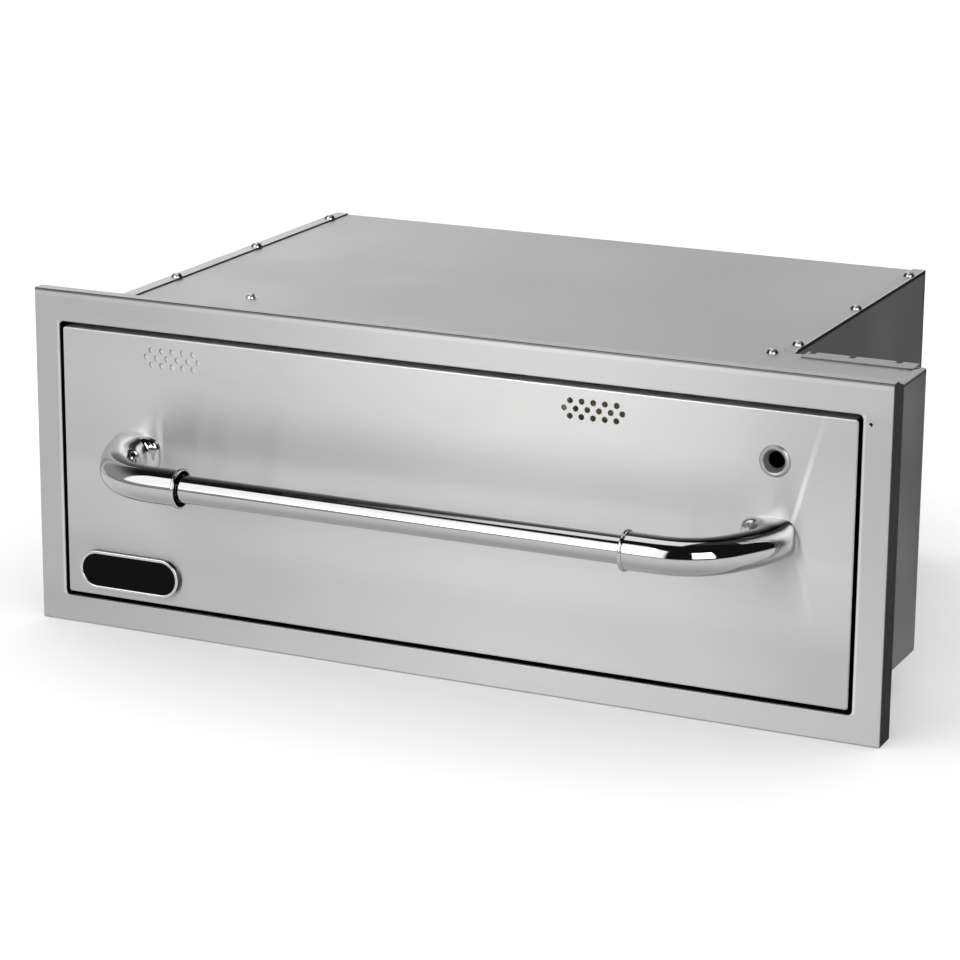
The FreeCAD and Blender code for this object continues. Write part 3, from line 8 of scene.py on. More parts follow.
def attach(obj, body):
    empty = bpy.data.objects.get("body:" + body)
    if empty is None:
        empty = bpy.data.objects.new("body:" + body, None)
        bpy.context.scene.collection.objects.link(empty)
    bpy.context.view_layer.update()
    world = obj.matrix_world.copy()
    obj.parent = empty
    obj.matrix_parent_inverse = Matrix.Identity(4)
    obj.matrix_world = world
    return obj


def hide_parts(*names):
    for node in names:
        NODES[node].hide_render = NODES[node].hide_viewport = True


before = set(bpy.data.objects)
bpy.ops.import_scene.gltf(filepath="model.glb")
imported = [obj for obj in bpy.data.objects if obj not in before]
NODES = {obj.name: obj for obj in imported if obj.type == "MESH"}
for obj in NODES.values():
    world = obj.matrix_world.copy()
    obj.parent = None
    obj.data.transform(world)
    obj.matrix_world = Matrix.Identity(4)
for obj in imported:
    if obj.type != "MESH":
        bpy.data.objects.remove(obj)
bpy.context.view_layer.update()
SCENE = bpy.context.scene
SCENE.view_settings.view_transform = "Standard"
SCENE.view_settings.look = "None"


# ---------------------------------------------------------------- camera
def place_camera():
    data = bpy.data.cameras.new("view")
    data.sensor_fit = "HORIZONTAL"
    data.sensor_width = 36.0
    data.lens = 124.93
    data.clip_start, data.clip_end = 0.05, 100.0
    cam = bpy.data.objects.new("view", data)
    SCENE.collection.objects.link(cam)
    yaw, pitch, roll = (math.radians(v) for v in (24.588, 15.733, 0.44))
    back = Vector((math.sin(yaw) * math.cos(pitch), -math.cos(yaw) * math.cos(pitch), math.sin(pitch)))
    right = Vector((math.cos(yaw), math.sin(yaw), 0.0))
    up = back.cross(right)
    r2 = right * math.cos(roll) + up * math.sin(roll)
    u2 = up * math.cos(roll) - right * math.sin(roll)
    m = Matrix((
        (r2.x, u2.x, back.x, 1.1148),
        (r2.y, u2.y, back.y, -2.5721),
        (r2.z, u2.z, back.z, 0.9050),
        (0.0, 0.0, 0.0, 1.0),
    ))
    cam.matrix_world = m
    SCENE.camera = cam


place_camera()


# ---------------------------------------------------------------- node helpers
class Mat:
    """A small writer of shader trees."""

    def __init__(self, name):
        self.m = bpy.data.materials.new(name)
        self.m.use_nodes = True
        self.t = self.m.node_tree
        self.t.nodes.clear()
        self.out = self.t.nodes.new("ShaderNodeOutputMaterial")
        self.bsdf = self.t.nodes.new("ShaderNodeBsdfPrincipled")
        self.t.links.new(self.bsdf.outputs[0], self.out.inputs["Surface"])
        self.coord = self.t.nodes.new("ShaderNodeTexCoord")

    def put(self, sock, v):
        if isinstance(v, bpy.types.NodeSocket):
            self.t.links.new(v, sock)
        else:
            sock.default_value = v

    def set(self, **kw):
        for k, v in kw.items():
            self.put(self.bsdf.inputs[k.replace("_", " ")], v)
        return self

    def math(self, op, a, b=0.0, clamp=False):
        n = self.t.nodes.new("ShaderNodeMath")
        n.operation = op
        n.use_clamp = clamp
        self.put(n.inputs[0], a)
        self.put(n.inputs[1], b)
        return n.outputs[0]

    def vec(self, op, a, b=(0.0, 0.0, 0.0)):
        n = self.t.nodes.new("ShaderNodeVectorMath")
        n.operation = op
        self.put(n.inputs[0], a)
        self.put(n.inputs[1], b)
        return n.outputs["Value"] if op in ("DOT_PRODUCT", "LENGTH") else n.outputs[0]

    def xyz(self, v):
        n = self.t.nodes.new("ShaderNodeSeparateXYZ")
        self.put(n.inputs[0], v)
        return n.outputs

    def noise(self, v, scale, detail=2.0, rough=0.5, distortion=0.0):
        n = self.t.nodes.new("ShaderNodeTexNoise")
        self.put(n.inputs["Vector"], v)
        n.inputs["Scale"].default_value = scale
        n.inputs["Detail"].default_value = detail
        n.inputs["Roughness"].default_value = rough
        n.inputs["Distortion"].default_value = distortion
        return n.outputs["Fac"]

    def voronoi(self, v, scale, feature="F1", out="Distance", randomness=1.0):
        n = self.t.nodes.new("ShaderNodeTexVoronoi")
        n.feature = feature
        self.put(n.inputs["Vector"], v)
        n.inputs["Scale"].default_value = scale
        n.inputs["Randomness"].default_value = randomness
        return n.outputs[out]

    def ramp(self, v, lo, hi, a=0.0, b=1.0, smooth=False):
        """v from a..b to lo..hi"""
        n = self.t.nodes.new("ShaderNodeMapRange")
        n.interpolation_type = "SMOOTHSTEP" if smooth else "LINEAR"
        self.put(n.inputs["Value"], v)
        n.inputs["From Min"].default_value = a
        n.inputs["From Max"].default_value = b
        n.inputs["To Min"].default_value = lo
        n.inputs["To Max"].default_value = hi
        return n.outputs["Result"]

    def mix_vec(self, f, a, b):
        n = self.t.nodes.new("ShaderNodeMix")
        n.data_type = "VECTOR"
        self.put(n.inputs[0], f)
        self.put(n.inputs[4], a)
        self.put(n.inputs[5], b)
        return n.outputs[1]

    def mix_col(self, f, a, b):
        n = self.t.nodes.new("ShaderNodeMix")
        n.data_type = "RGBA"
        n.blend_type = "MIX"
        self.put(n.inputs[0], f)
        for s, c in ((n.inputs[6], a), (n.inputs[7], b)):
            if isinstance(c, bpy.types.NodeSocket):
                self.t.links.new(c, s)
            else:
                s.default_value = (*c[:3], 1.0)
        return n.outputs[2]

    def grey(self, v, tint=(1.0, 1.0, 1.0)):
        """a colour of that lightness"""
        n = self.t.nodes.new("ShaderNodeCombineColor")
        for i in range(3):
            self.put(n.inputs[i], self.math("MULTIPLY", v, tint[i]))
        return n.outputs[0]

    def bump(self, height, strength, distance):
        n = self.t.nodes.new("ShaderNodeBump")
        n.inputs["Strength"].default_value = strength
        n.inputs["Distance"].default_value = distance
        self.put(n.inputs["Height"], height)
        self.t.links.new(n.outputs[0], self.bsdf.inputs["Normal"])
        return n


def grain_vector(m, along, across):
    """Object coordinates stretched along the brushing: along X on fronts and tops, along Y on the sides."""
    p = m.coord.outputs["Object"]
    n = m.xyz(m.coord.outputs["Normal"])
    side = m.math("GREATER_THAN", m.math("ABSOLUTE", n[0]), 0.7)
    return m.mix_vec(side, m.vec("MULTIPLY", p, (along, across, across)), m.vec("MULTIPLY", p, (across, along, across)))


def brushed(name, tone, rough, aniso, grain=0.05, patch=0.03, rgh=0.07, tint=(1.0, 1.0, 0.995), fine=1.0, lines=0.15, side_rough=1.0, shade=None):
    """Brushed sheet: long fine scratches in colour, roughness and relief, faint broad clouds from rolling and wiping."""
    m = Mat(name)
    p = m.coord.outputs["Object"]
    g1 = m.noise(grain_vector(m, 6.0, 900.0 * fine), 1.0, 3.0, 0.65)
    g2 = m.noise(grain_vector(m, 18.0, 2600.0 * fine), 1.0, 2.0, 0.6)
    g = m.math("ADD", m.math("MULTIPLY", g1, 0.6), m.math("MULTIPLY", g2, 0.4))
    cloud = m.noise(m.vec("MULTIPLY", p, (2.2, 3.0, 3.6)), 1.0, 3.0, 0.55)
    smear = m.noise(m.vec("MULTIPLY", p, (9.0, 14.0, 16.0)), 1.0, 4.0, 0.6, 0.6)
    v = m.math("ADD", m.ramp(g, tone * (1 - grain), tone * (1 + grain), 0.3, 0.7),
               m.math("ADD", m.ramp(cloud, -tone * patch, tone * patch, 0.3, 0.7),
                      m.ramp(smear, -tone * patch * 0.4, tone * patch * 0.4, 0.35, 0.65)))
    r = m.math("ADD", m.ramp(g, rough - rgh * 0.5, rough + rgh * 0.5, 0.3, 0.7),
               m.math("ADD", m.ramp(cloud, -rgh * 0.4, rgh * 0.4, 0.3, 0.7), m.ramp(smear, -rgh * 0.3, rgh * 0.3, 0.35, 0.65)))
    m.set(Base_Color=m.grey(v, tint), Metallic=1.0, Roughness=r, Anisotropic=aniso, Anisotropic_Rotation=0.25)
    nrm = m.coord.outputs["Normal"]
    if shade is not None:    # painted light and shade: painted shadows in seams and on cut edges, laps painted lighter
        m.set(Base_Color=m.grey(m.math("MULTIPLY", v, shade(m, m.xyz(p), m.xyz(nrm))), tint))
    if side_rough != 1.0:    # folded edges keep the bright side of the sheet
        m.set(Roughness=m.math("MULTIPLY", r, m.ramp(m.math("ABSOLUTE", m.xyz(nrm)[0]), 1.0, side_rough, 0.5, 0.8)))
    along = m.vec("ADD", m.vec("CROSS_PRODUCT", (0.0, 0.0, 1.0), nrm), (0.02, 0.0, 0.0))
    m.t.links.new(m.vec("NORMALIZE", along), m.bsdf.inputs["Tangent"])
    m.bump(g, lines, 0.00003)
    return m.m


def polished(name, tone, rough, tint=(1.0, 1.0, 1.0), wave=0.0, cloud=0.02, spread=0.02, ridge=None):
    """Plated or polished metal with faint haze, wiping marks and, if wave is set, a barely uneven surface; if ridge is
    set, painted shade along the handle.
    """
    m = Mat(name)
    p = m.coord.outputs["Object"]
    haze = m.noise(p, 38.0, 4.0, 0.6, 0.8)
    wipe = m.noise(m.vec("MULTIPLY", p, (70.0, 420.0, 420.0)), 1.0, 3.0, 0.6)
    v = m.math("ADD", m.ramp(haze, tone * (1 - cloud), tone * (1 + cloud), 0.3, 0.7), m.ramp(wipe, -tone * 0.01, tone * 0.01, 0.3, 0.7))
    r = m.math("ADD", m.ramp(haze, max(0.01, rough - spread), rough + spread, 0.3, 0.7), m.ramp(wipe, 0.0, spread * 0.5, 0.45, 0.8))
    if ridge is not None:    # painted shade: a painted dark reflection along the upper ridge of the handle where it stands clear of the front
        foot = m.ramp(m.xyz(p)[0], 0.0, 0.042, 0.0, 0.1)
        bend = m.ramp(m.xyz(p)[0], 0.0, 0.05, 0.200, 0.270, True)
        up = m.ramp(m.math("ADD", m.xyz(m.coord.outputs["Normal"])[2], bend), 0.0, 1.0, 0.925, 0.955, True)
        clear = m.ramp(m.math("SUBTRACT", m.xyz(p)[1], foot), 1.0, 0.0, ridge, ridge + 0.016, True)
        v = m.math("MULTIPLY", v, m.ramp(m.math("MULTIPLY", up, clear), 1.0, 0.02))
        # painted shade on the underside and on the lower flank
        v = m.math("MULTIPLY", v, m.ramp(m.xyz(m.coord.outputs["Normal"])[2], 0.55, 1.0, -0.985, -0.90, True))
        v = m.math("MULTIPLY", v, m.ramp(m.xyz(m.coord.outputs["Normal"])[2], 1.0, 0.74, 0.11, 0.19, True))
    m.set(Base_Color=m.grey(v, tint), Metallic=1.0, Roughness=r)
    if wave:
        m.bump(m.noise(p, 55.0, 1.0, 0.4), wave, 0.0004)
    return m.m


def enamel(name, tone, rough, peel=0.12, specular=0.5):
    """Glossy baked enamel or paint: orange peel and fine dust."""
    m = Mat(name)
    p = m.coord.outputs["Object"]
    dust = m.noise(p, 900.0, 2.0, 0.7)
    cloud = m.noise(p, 60.0, 3.0, 0.6)
    v = m.math("ADD", m.ramp(dust, tone * 0.7, tone * 1.5, 0.35, 0.75), m.ramp(cloud, -tone * 0.2, tone * 0.2, 0.3, 0.7))
    m.set(Base_Color=m.grey(v), Metallic=0.0, Roughness=m.ramp(cloud, rough * 0.7, rough * 1.4, 0.3, 0.7))
    m.bsdf.inputs["Specular IOR Level"].default_value = specular
    m.bump(m.noise(p, 700.0, 2.0, 0.5), peel, 0.00008)
    return m.m


def moulded(name, colour, rough, texture=0.25, size=1400.0, mottled=0.12, specular=0.5):
    """Moulded plastic, rubber or ceramic with a fine spark texture and slight mottling."""
    m = Mat(name)
    p = m.coord.outputs["Object"]
    spot = m.noise(p, 90.0, 4.0, 0.6)
    fine = m.noise(p, size, 2.0, 0.6)
    dark = tuple(c * (1 - mottled) for c in colour)
    light = tuple(min(1.0, c * (1 + mottled) + 0.004) for c in colour)
    m.set(Base_Color=m.mix_col(m.ramp(spot, 0.0, 1.0, 0.3, 0.7), dark, light), Roughness=m.ramp(fine, rough * 0.85, min(1.0, rough * 1.15), 0.3, 0.7))
    m.bsdf.inputs["Specular IOR Level"].default_value = specular
    m.bump(fine, texture, 0.00006)
    return m.m


def wool(name):
    """Mineral wool: matted fibres, lighter tufts, resin-browned spots."""
    m = Mat(name)
    p = m.coord.outputs["Object"]
    lay = m.noise(m.vec("MULTIPLY", p, (60.0, 60.0, 300.0)), 1.0, 5.0, 0.7, 1.5)
    fibre = m.noise(m.vec("MULTIPLY", p, (700.0, 160.0, 500.0)), 1.0, 4.0, 0.75, 2.0)
    tuft = m.noise(p, 26.0, 3.0, 0.6)
    c = m.mix_col(m.ramp(fibre, 0.0, 1.0, 0.35, 0.65), (0.38, 0.33, 0.22), (0.68, 0.62, 0.46))
    c = m.mix_col(m.ramp(tuft, 0.0, 0.45, 0.5, 0.75), c, (0.46, 0.37, 0.22))
    m.set(Base_Color=c, Roughness=m.ramp(lay, 0.85, 1.0))
    m.bump(m.math("ADD", lay, m.math("MULTIPLY", fibre, 0.6)), 0.7, 0.0015)
    return m.m


def sheath(name):
    """Heating element sheath: dark oxide with straw and blue heat tints."""
    m = Mat(name)
    p = m.coord.outputs["Object"]
    a = m.noise(p, 45.0, 4.0, 0.6, 0.5)
    b = m.noise(p, 1200.0, 2.0, 0.7)
    c = m.mix_col(m.ramp(a, 0.0, 1.0, 0.35, 0.65), (0.045, 0.05, 0.045), (0.13, 0.115, 0.095))
    m.set(Base_Color=c, Metallic=0.7, Roughness=m.ramp(b, 0.38, 0.6, 0.3, 0.7))
    m.bump(b, 0.3, 0.00005)
    return m.m


def zinc(name, tone, rough):
    """Bright zinc plate with faint spangle and run marks."""
    m = Mat(name)
    p = m.coord.outputs["Object"]
    cell = m.voronoi(m.vec("MULTIPLY", p, (1.0, 0.6, 1.0)), 260.0, out="Color")
    f = m.xyz(cell)[0]
    run = m.noise(m.vec("MULTIPLY", p, (400.0, 12.0, 400.0)), 1.0, 3.0, 0.6)
    v = m.math("ADD", m.ramp(f, tone * 0.93, tone * 1.05), m.ramp(run, -tone * 0.04, tone * 0.04, 0.3, 0.7))
    r = m.math("ADD", m.ramp(f, rough * 0.85, rough * 1.15), m.ramp(run, -0.03, 0.03, 0.3, 0.7))
    m.set(Base_Color=m.grey(v, (0.985, 0.995, 1.0)), Metallic=1.0, Roughness=r)
    m.bump(run, 0.03, 0.00003)
    return m.m


def screw_heads(name):
    """Nickel-plated dome screws: bright crown, painted shade on the left, right and back flanks where the dome meets
    the sheet, less of it on the front left screws.
    """
    m = Mat(name)
    p = m.coord.outputs["Object"]
    n = m.xyz(m.coord.outputs["Normal"])
    haze = m.noise(p, 420.0, 3.0, 0.6)
    turn = m.math("ADD", m.math("MULTIPLY", n[0], 0.909), m.math("MULTIPLY", n[1], 0.416))
    # painted shade: the side flanks and the back flank are darkened
    flank = both(m, m.ramp(turn, 1.0, 0.03, 0.30, 0.50, True), m.ramp(turn, 0.05, 1.0, -0.58, -0.40, True), m.ramp(n[1], 1.0, 0.35, 0.10, 0.40, True))
    x, y = m.xyz(p)[:2]
    less_shaded_left_front = both(m, m.math("LESS_THAN", x, -0.20), m.math("LESS_THAN", y, -0.045))
    flank = m.math("MAXIMUM", flank, m.math("MULTIPLY", less_shaded_left_front, 0.55))
    v = m.math("MULTIPLY", m.ramp(haze, 0.92, 1.04, 0.3, 0.7), m.math("MULTIPLY", flank, 0.95))
    m.set(Base_Color=m.grey(v), Metallic=1.0, Roughness=m.ramp(haze, 0.30, 0.38, 0.3, 0.7))
    m.bump(haze, 0.05, 0.00003)
    return m.m


def badge_chrome(name):
    """Plated badge rim: bright front, painted shade on the wall at the top and at the right where it meets the sheet.
    """
    m = Mat(name)
    p = m.coord.outputs["Object"]
    n = m.xyz(m.coord.outputs["Normal"])
    haze = m.noise(p, 90.0, 4.0, 0.6, 0.8)
    wall = m.ramp(n[1], 0.0, 1.0, -0.62, -0.40, True)
    turned = m.ramp(m.math("ADD", n[0], m.math("MULTIPLY", n[2], 0.8)), 0.0, 1.0, 0.10, 0.45, True)
    # painted shade: the top and right walls are darkened
    v = m.math("MULTIPLY", m.ramp(haze, 0.74, 0.80, 0.3, 0.7), m.ramp(m.math("MULTIPLY", wall, turned), 1.0, 0.10))
    m.set(Base_Color=m.grey(v), Metallic=1.0, Roughness=m.ramp(haze, 0.16, 0.22, 0.3, 0.7))
    return m.m


def satin_bezel(name):
    """Turned bezel: satin rim, dull funnel with fine turning marks, the bore painted near black as painted shade."""
    m = Mat(name)
    p = m.coord.outputs["Object"]
    x, y, z = m.xyz(p)[:3]
    dx, dz = m.math("ADD", x, -0.2874), m.math("ADD", z, -0.2214)
    rad = m.math("SQRT", m.math("ADD", m.math("MULTIPLY", dx, dx), m.math("MULTIPLY", dz, dz)))
    turn = m.noise(m.vec("MULTIPLY", p, (0.0, 1.0, 0.0)), 900.0, 2.0, 0.6)
    haze = m.noise(p, 160.0, 3.0, 0.6)
    v = m.math("ADD", m.ramp(haze, 0.50, 0.58, 0.3, 0.7), m.ramp(turn, -0.02, 0.02, 0.3, 0.7))
    funnel = m.math("MULTIPLY", m.ramp(rad, 1.0, 0.0, 0.0092, 0.0096), m.math("GREATER_THAN", rad, 0.0059))
    v = m.math("MULTIPLY", v, m.ramp(funnel, 1.0, 0.82))
    # painted shade: inside 6.6 mm the bore is painted near black
    v = m.math("MULTIPLY", v, m.ramp(rad, 0.02, 1.0, 0.0066, 0.0070))
    m.set(Base_Color=m.grey(v), Metallic=1.0, Roughness=m.math("ADD", m.ramp(haze, 0.38, 0.44, 0.3, 0.7), m.ramp(funnel, 0.0, 0.14)))
    m.bump(turn, 0.1, 0.00003)
    return m.m


def sleeve(name):
    """Glass-braid wire sleeve."""
    m = Mat(name)
    p = m.coord.outputs["Object"]
    braid = m.voronoi(p, 1500.0)
    soil = m.noise(p, 60.0, 3.0, 0.6)
    c = m.mix_col(m.ramp(braid, 0.0, 1.0, 0.0, 0.8), (0.72, 0.70, 0.64), (0.38, 0.37, 0.34))
    c = m.mix_col(m.ramp(soil, 0.0, 0.35, 0.45, 0.75), c, (0.30, 0.27, 0.21))
    m.set(Base_Color=c, Roughness=m.ramp(braid, 0.6, 0.85))
    m.bump(braid, 0.5, 0.0002)
    return m.m


def lens(name):
    """Amber signal lens: ribbed inside, lightly frosted."""
    m = Mat(name)
    p = m.coord.outputs["Object"]
    a = m.noise(p, 300.0, 3.0, 0.6)
    m.set(Base_Color=m.mix_col(m.ramp(a, 0.0, 1.0, 0.3, 0.7), (0.50, 0.16, 0.02), (0.72, 0.27, 0.04)), Roughness=m.ramp(a, 0.08, 0.2))
    m.bsdf.inputs["Specular IOR Level"].default_value = 0.6
    m.bsdf.inputs["Coat Weight"].default_value = 0.5
    m.bump(m.noise(p, 500.0, 1.0, 0.5), 0.1, 0.0001)
    return m.m


def both(m, *parts):
    out = parts[0]
    for part in parts[1:]:
        out = m.math("MULTIPLY", out, part)
    return out


def tint_where(m, mask, factor):
    """1 outside the mask, factor inside"""
    return m.ramp(mask, 1.0, factor)


# painted light and shade on the left side panel: the lap painted lighter, its cut edge painted dark as a seam shadow
def left_panel_shade(m, p, n):
    lap = m.ramp(n[2], 0.0, 1.0, 0.6, 0.8)
    cut = both(m, m.ramp(n[0], 0.0, 1.0, 0.6, 0.8), m.math("GREATER_THAN", p[2], 0.2655))
    return both(m, tint_where(m, lap, 1.24), tint_where(m, cut, 0.10))


# painted light and shade on the right side panel: laps painted lighter towards the rear with a painted highlight on the
# lap edge, the wall painted darker, painted dark lines along its top and rear edges
def right_panel_shade(m, p, n):
    lap = m.ramp(n[2], 0.0, 1.0, 0.6, 0.8)
    wall = m.ramp(n[0], 0.0, 1.0, 0.6, 0.8)
    rim = both(m, wall, m.ramp(p[2], 0.0, 1.0, 0.2640, 0.2648))
    back = both(m, wall, m.ramp(p[1], 0.0, 1.0, 0.3045, 0.3055))
    brim = both(m, lap, m.ramp(p[0], 0.0, 1.0, 0.2408, 0.2414))
    return both(m, tint_where(m, lap, 1.05), tint_where(m, both(m, lap, m.ramp(p[1], 0.0, 1.0, -0.05, 0.26, True)), 1.06), tint_where(m, brim, 1.22), tint_where(m, wall, 0.56), tint_where(m, rim, 0.06), tint_where(m, back, 0.35))


# painted shade on the control box rear: the lap painted darker, a painted shadow on the cut edge under it
def box_rear_shade(m, p, n):
    lap = m.ramp(n[2], 0.0, 1.0, 0.6, 0.8)
    cut = both(m, m.ramp(m.math("MULTIPLY", n[1], -1.0), 0.0, 1.0, 0.6, 0.8), m.math("GREATER_THAN", p[2], 0.2655))
    return both(m, tint_where(m, lap, 0.93), tint_where(m, cut, 0.35))


# painted shade on the control box side: the wall painted darker towards the top, a painted dark line along its top edge
def box_side_shade(m, p, n):
    wall = m.ramp(n[0], 0.0, 1.0, 0.6, 0.8)
    rim = both(m, wall, m.ramp(p[2], 0.0, 1.0, 0.2630, 0.2644))
    return both(m, m.ramp(m.math("MULTIPLY", wall, m.ramp(p[2], 0.0, 1.0, 0.06, 0.23, True)), 1.0, 0.76), tint_where(m, rim, 0.25))


# painted light and shade on the top sheet: a painted shadow in the seam by the left lap, painted lighter at the rear
# right and towards the left
def top_shade(m, p, n):
    seam = both(m, m.ramp(p[0], 1.0, 0.0, -0.3469, -0.3463), m.math("GREATER_THAN", p[1], -0.20))
    rear = both(m, m.ramp(p[0], 0.0, 1.0, 0.05, 0.24, True), m.ramp(p[1], 0.0, 1.0, -0.05, 0.26, True))
    port = m.ramp(p[0], 1.0, 0.0, -0.30, -0.06, True)
    return both(m, tint_where(m, seam, 0.12), tint_where(m, rear, 1.13), tint_where(m, port, 1.055))


# painted light and shade on the frame: painted shade in the top fold, on the top return and on faces turned left,
# darker towards the upper right and at the left ends of the rails; painted highlights on the lip under the top edge and
# along the opening's side edges, lighter at the top
def frame_shade(m, p, n):
    fold = both(m, m.ramp(n[2], 0.0, 1.0, 0.22, 0.42), m.ramp(n[1], 1.0, 0.0, -0.30, -0.10))
    lip = both(m, m.ramp(n[1], 1.0, 0.0, -0.98, -0.90), m.ramp(p[2], 0.0, 1.0, 0.2870, 0.2880), m.ramp(p[2], 1.0, 0.0, 0.2904, 0.2910))
    brow = both(m, m.ramp(n[1], 1.0, 0.0, -0.60, -0.40), m.ramp(p[2], 0.0, 1.0, 0.2906, 0.2914))
    left = both(m, m.ramp(n[0], 1.0, 0.0, -0.55, -0.30), m.ramp(n[1], 1.0, 0.0, -0.30, -0.10))
    wide = m.math("ABSOLUTE", p[0])
    inner = both(m, m.ramp(wide, 0.0, 1.0, 0.3560, 0.3574), m.ramp(wide, 1.0, 0.0, 0.3592, 0.3602),
                 m.math("GREATER_THAN", p[2], 0.024), m.math("LESS_THAN", p[2], 0.2662), m.ramp(n[1], 1.0, 0.0, -0.98, -0.90))
    high = m.ramp(p[2], 0.0, 1.0, 0.262, 0.270, True)
    corner = both(m, m.ramp(p[0], 0.0, 1.0, 0.10, 0.36, True), m.ramp(p[2], 0.0, 1.0, 0.06, 0.20, True), m.ramp(n[1], 1.0, 0.0, -0.98, -0.90))
    port = both(m, m.ramp(p[0], 1.0, 0.0, -0.32, -0.16, True), m.ramp(n[1], 1.0, 0.0, -0.98, -0.90), m.ramp(m.math("ABSOLUTE", m.math("SUBTRACT", p[2], 0.1465)), 0.0, 1.0, 0.110, 0.128))
    return both(m, tint_where(m, corner, 0.87), tint_where(m, port, 0.94), tint_where(m, fold, 0.20), tint_where(m, brow, 0.36), tint_where(m, lip, 1.12), tint_where(m, left, 0.75), tint_where(m, inner, 1.30), tint_where(m, high, 1.05))


def front_shade(m, p, n):
    """Painted light and shade on the front: a painted dark reflection of the bar above it, painted reflections of the
    right elbow as bright streaks above and below it, a painted sheen under the bar, lighter towards the top, darker
    towards the sides and the upper right, painted highlights along the left and top folded edges.
    """
    face = m.ramp(n[1], 1.0, 0.0, -0.98, -0.90)
    # painted shade: the dark band above the bar stands in for the bar's reflection
    bar_reflection_band = both(m, m.ramp(p[2], 0.0, 1.0, 0.150, 0.176, True), m.ramp(p[2], 1.0, 0.0, 0.180, 0.222, True),
                m.ramp(m.math("ABSOLUTE", p[0]), 1.0, 0.0, 0.235, 0.290, True))
    high = m.math("SUBTRACT", p[2], 0.176)
    low = m.math("SUBTRACT", 0.1445, p[2])
    # painted reflection: thin bright streaks above and below the right elbow stand in for its reflection
    off_hi = m.math("ABSOLUTE", m.math("SUBTRACT", p[0], m.math("ADD", 0.3042, m.math("MULTIPLY", high, 0.265))))
    streak_hi = both(m, m.ramp(off_hi, 1.0, 0.0, 0.0008, 0.0030, True), m.ramp(high, 0.0, 1.0, -0.004, 0.002, True), m.ramp(high, 1.0, 0.15, 0.010, 0.085, True))
    off_lo = m.math("ABSOLUTE", m.math("SUBTRACT", p[0], m.math("ADD", 0.3088, m.math("MULTIPLY", low, 0.25))))
    streak_lo = both(m, m.ramp(off_lo, 1.0, 0.0, 0.0008, 0.0036, True), m.ramp(low, 0.0, 1.0, -0.004, 0.006, True), m.ramp(low, 1.0, 0.0, 0.0, 0.065, True))
    right = m.ramp(p[0], 0.0, 1.0, 0.235, 0.335, True)
    left = m.ramp(p[0], 1.0, 0.0, -0.345, -0.240, True)
    edge = both(m, face, m.ramp(p[0], 1.0, 0.0, -0.3526, -0.3518))
    top = both(m, face, m.ramp(p[2], 0.0, 1.0, 0.2598, 0.2606))
    # painted light: lighter towards the top, darker towards the sides and upper right, a painted sheen under the bar,
    # painted highlights on the folded edges
    rise = m.ramp(p[2], 0.92, 1.075, 0.05, 0.235, True)
    corner = both(m, m.ramp(p[0], 0.0, 1.0, 0.14, 0.34, True), m.ramp(p[2], 0.0, 1.0, 0.15, 0.245, True))
    under = both(m, m.ramp(p[2], 0.0, 1.0, 0.065, 0.100, True), m.ramp(p[2], 1.0, 0.0, 0.138, 0.158, True))
    return both(m, rise, tint_where(m, bar_reflection_band, 0.82), tint_where(m, under, 1.09), tint_where(m, streak_hi, 1.42), tint_where(m, streak_lo, 1.10), tint_where(m, right, 0.91),
                tint_where(m, left, 0.97), tint_where(m, corner, 0.86), tint_where(m, edge, 1.05), tint_where(m, top, 1.10))


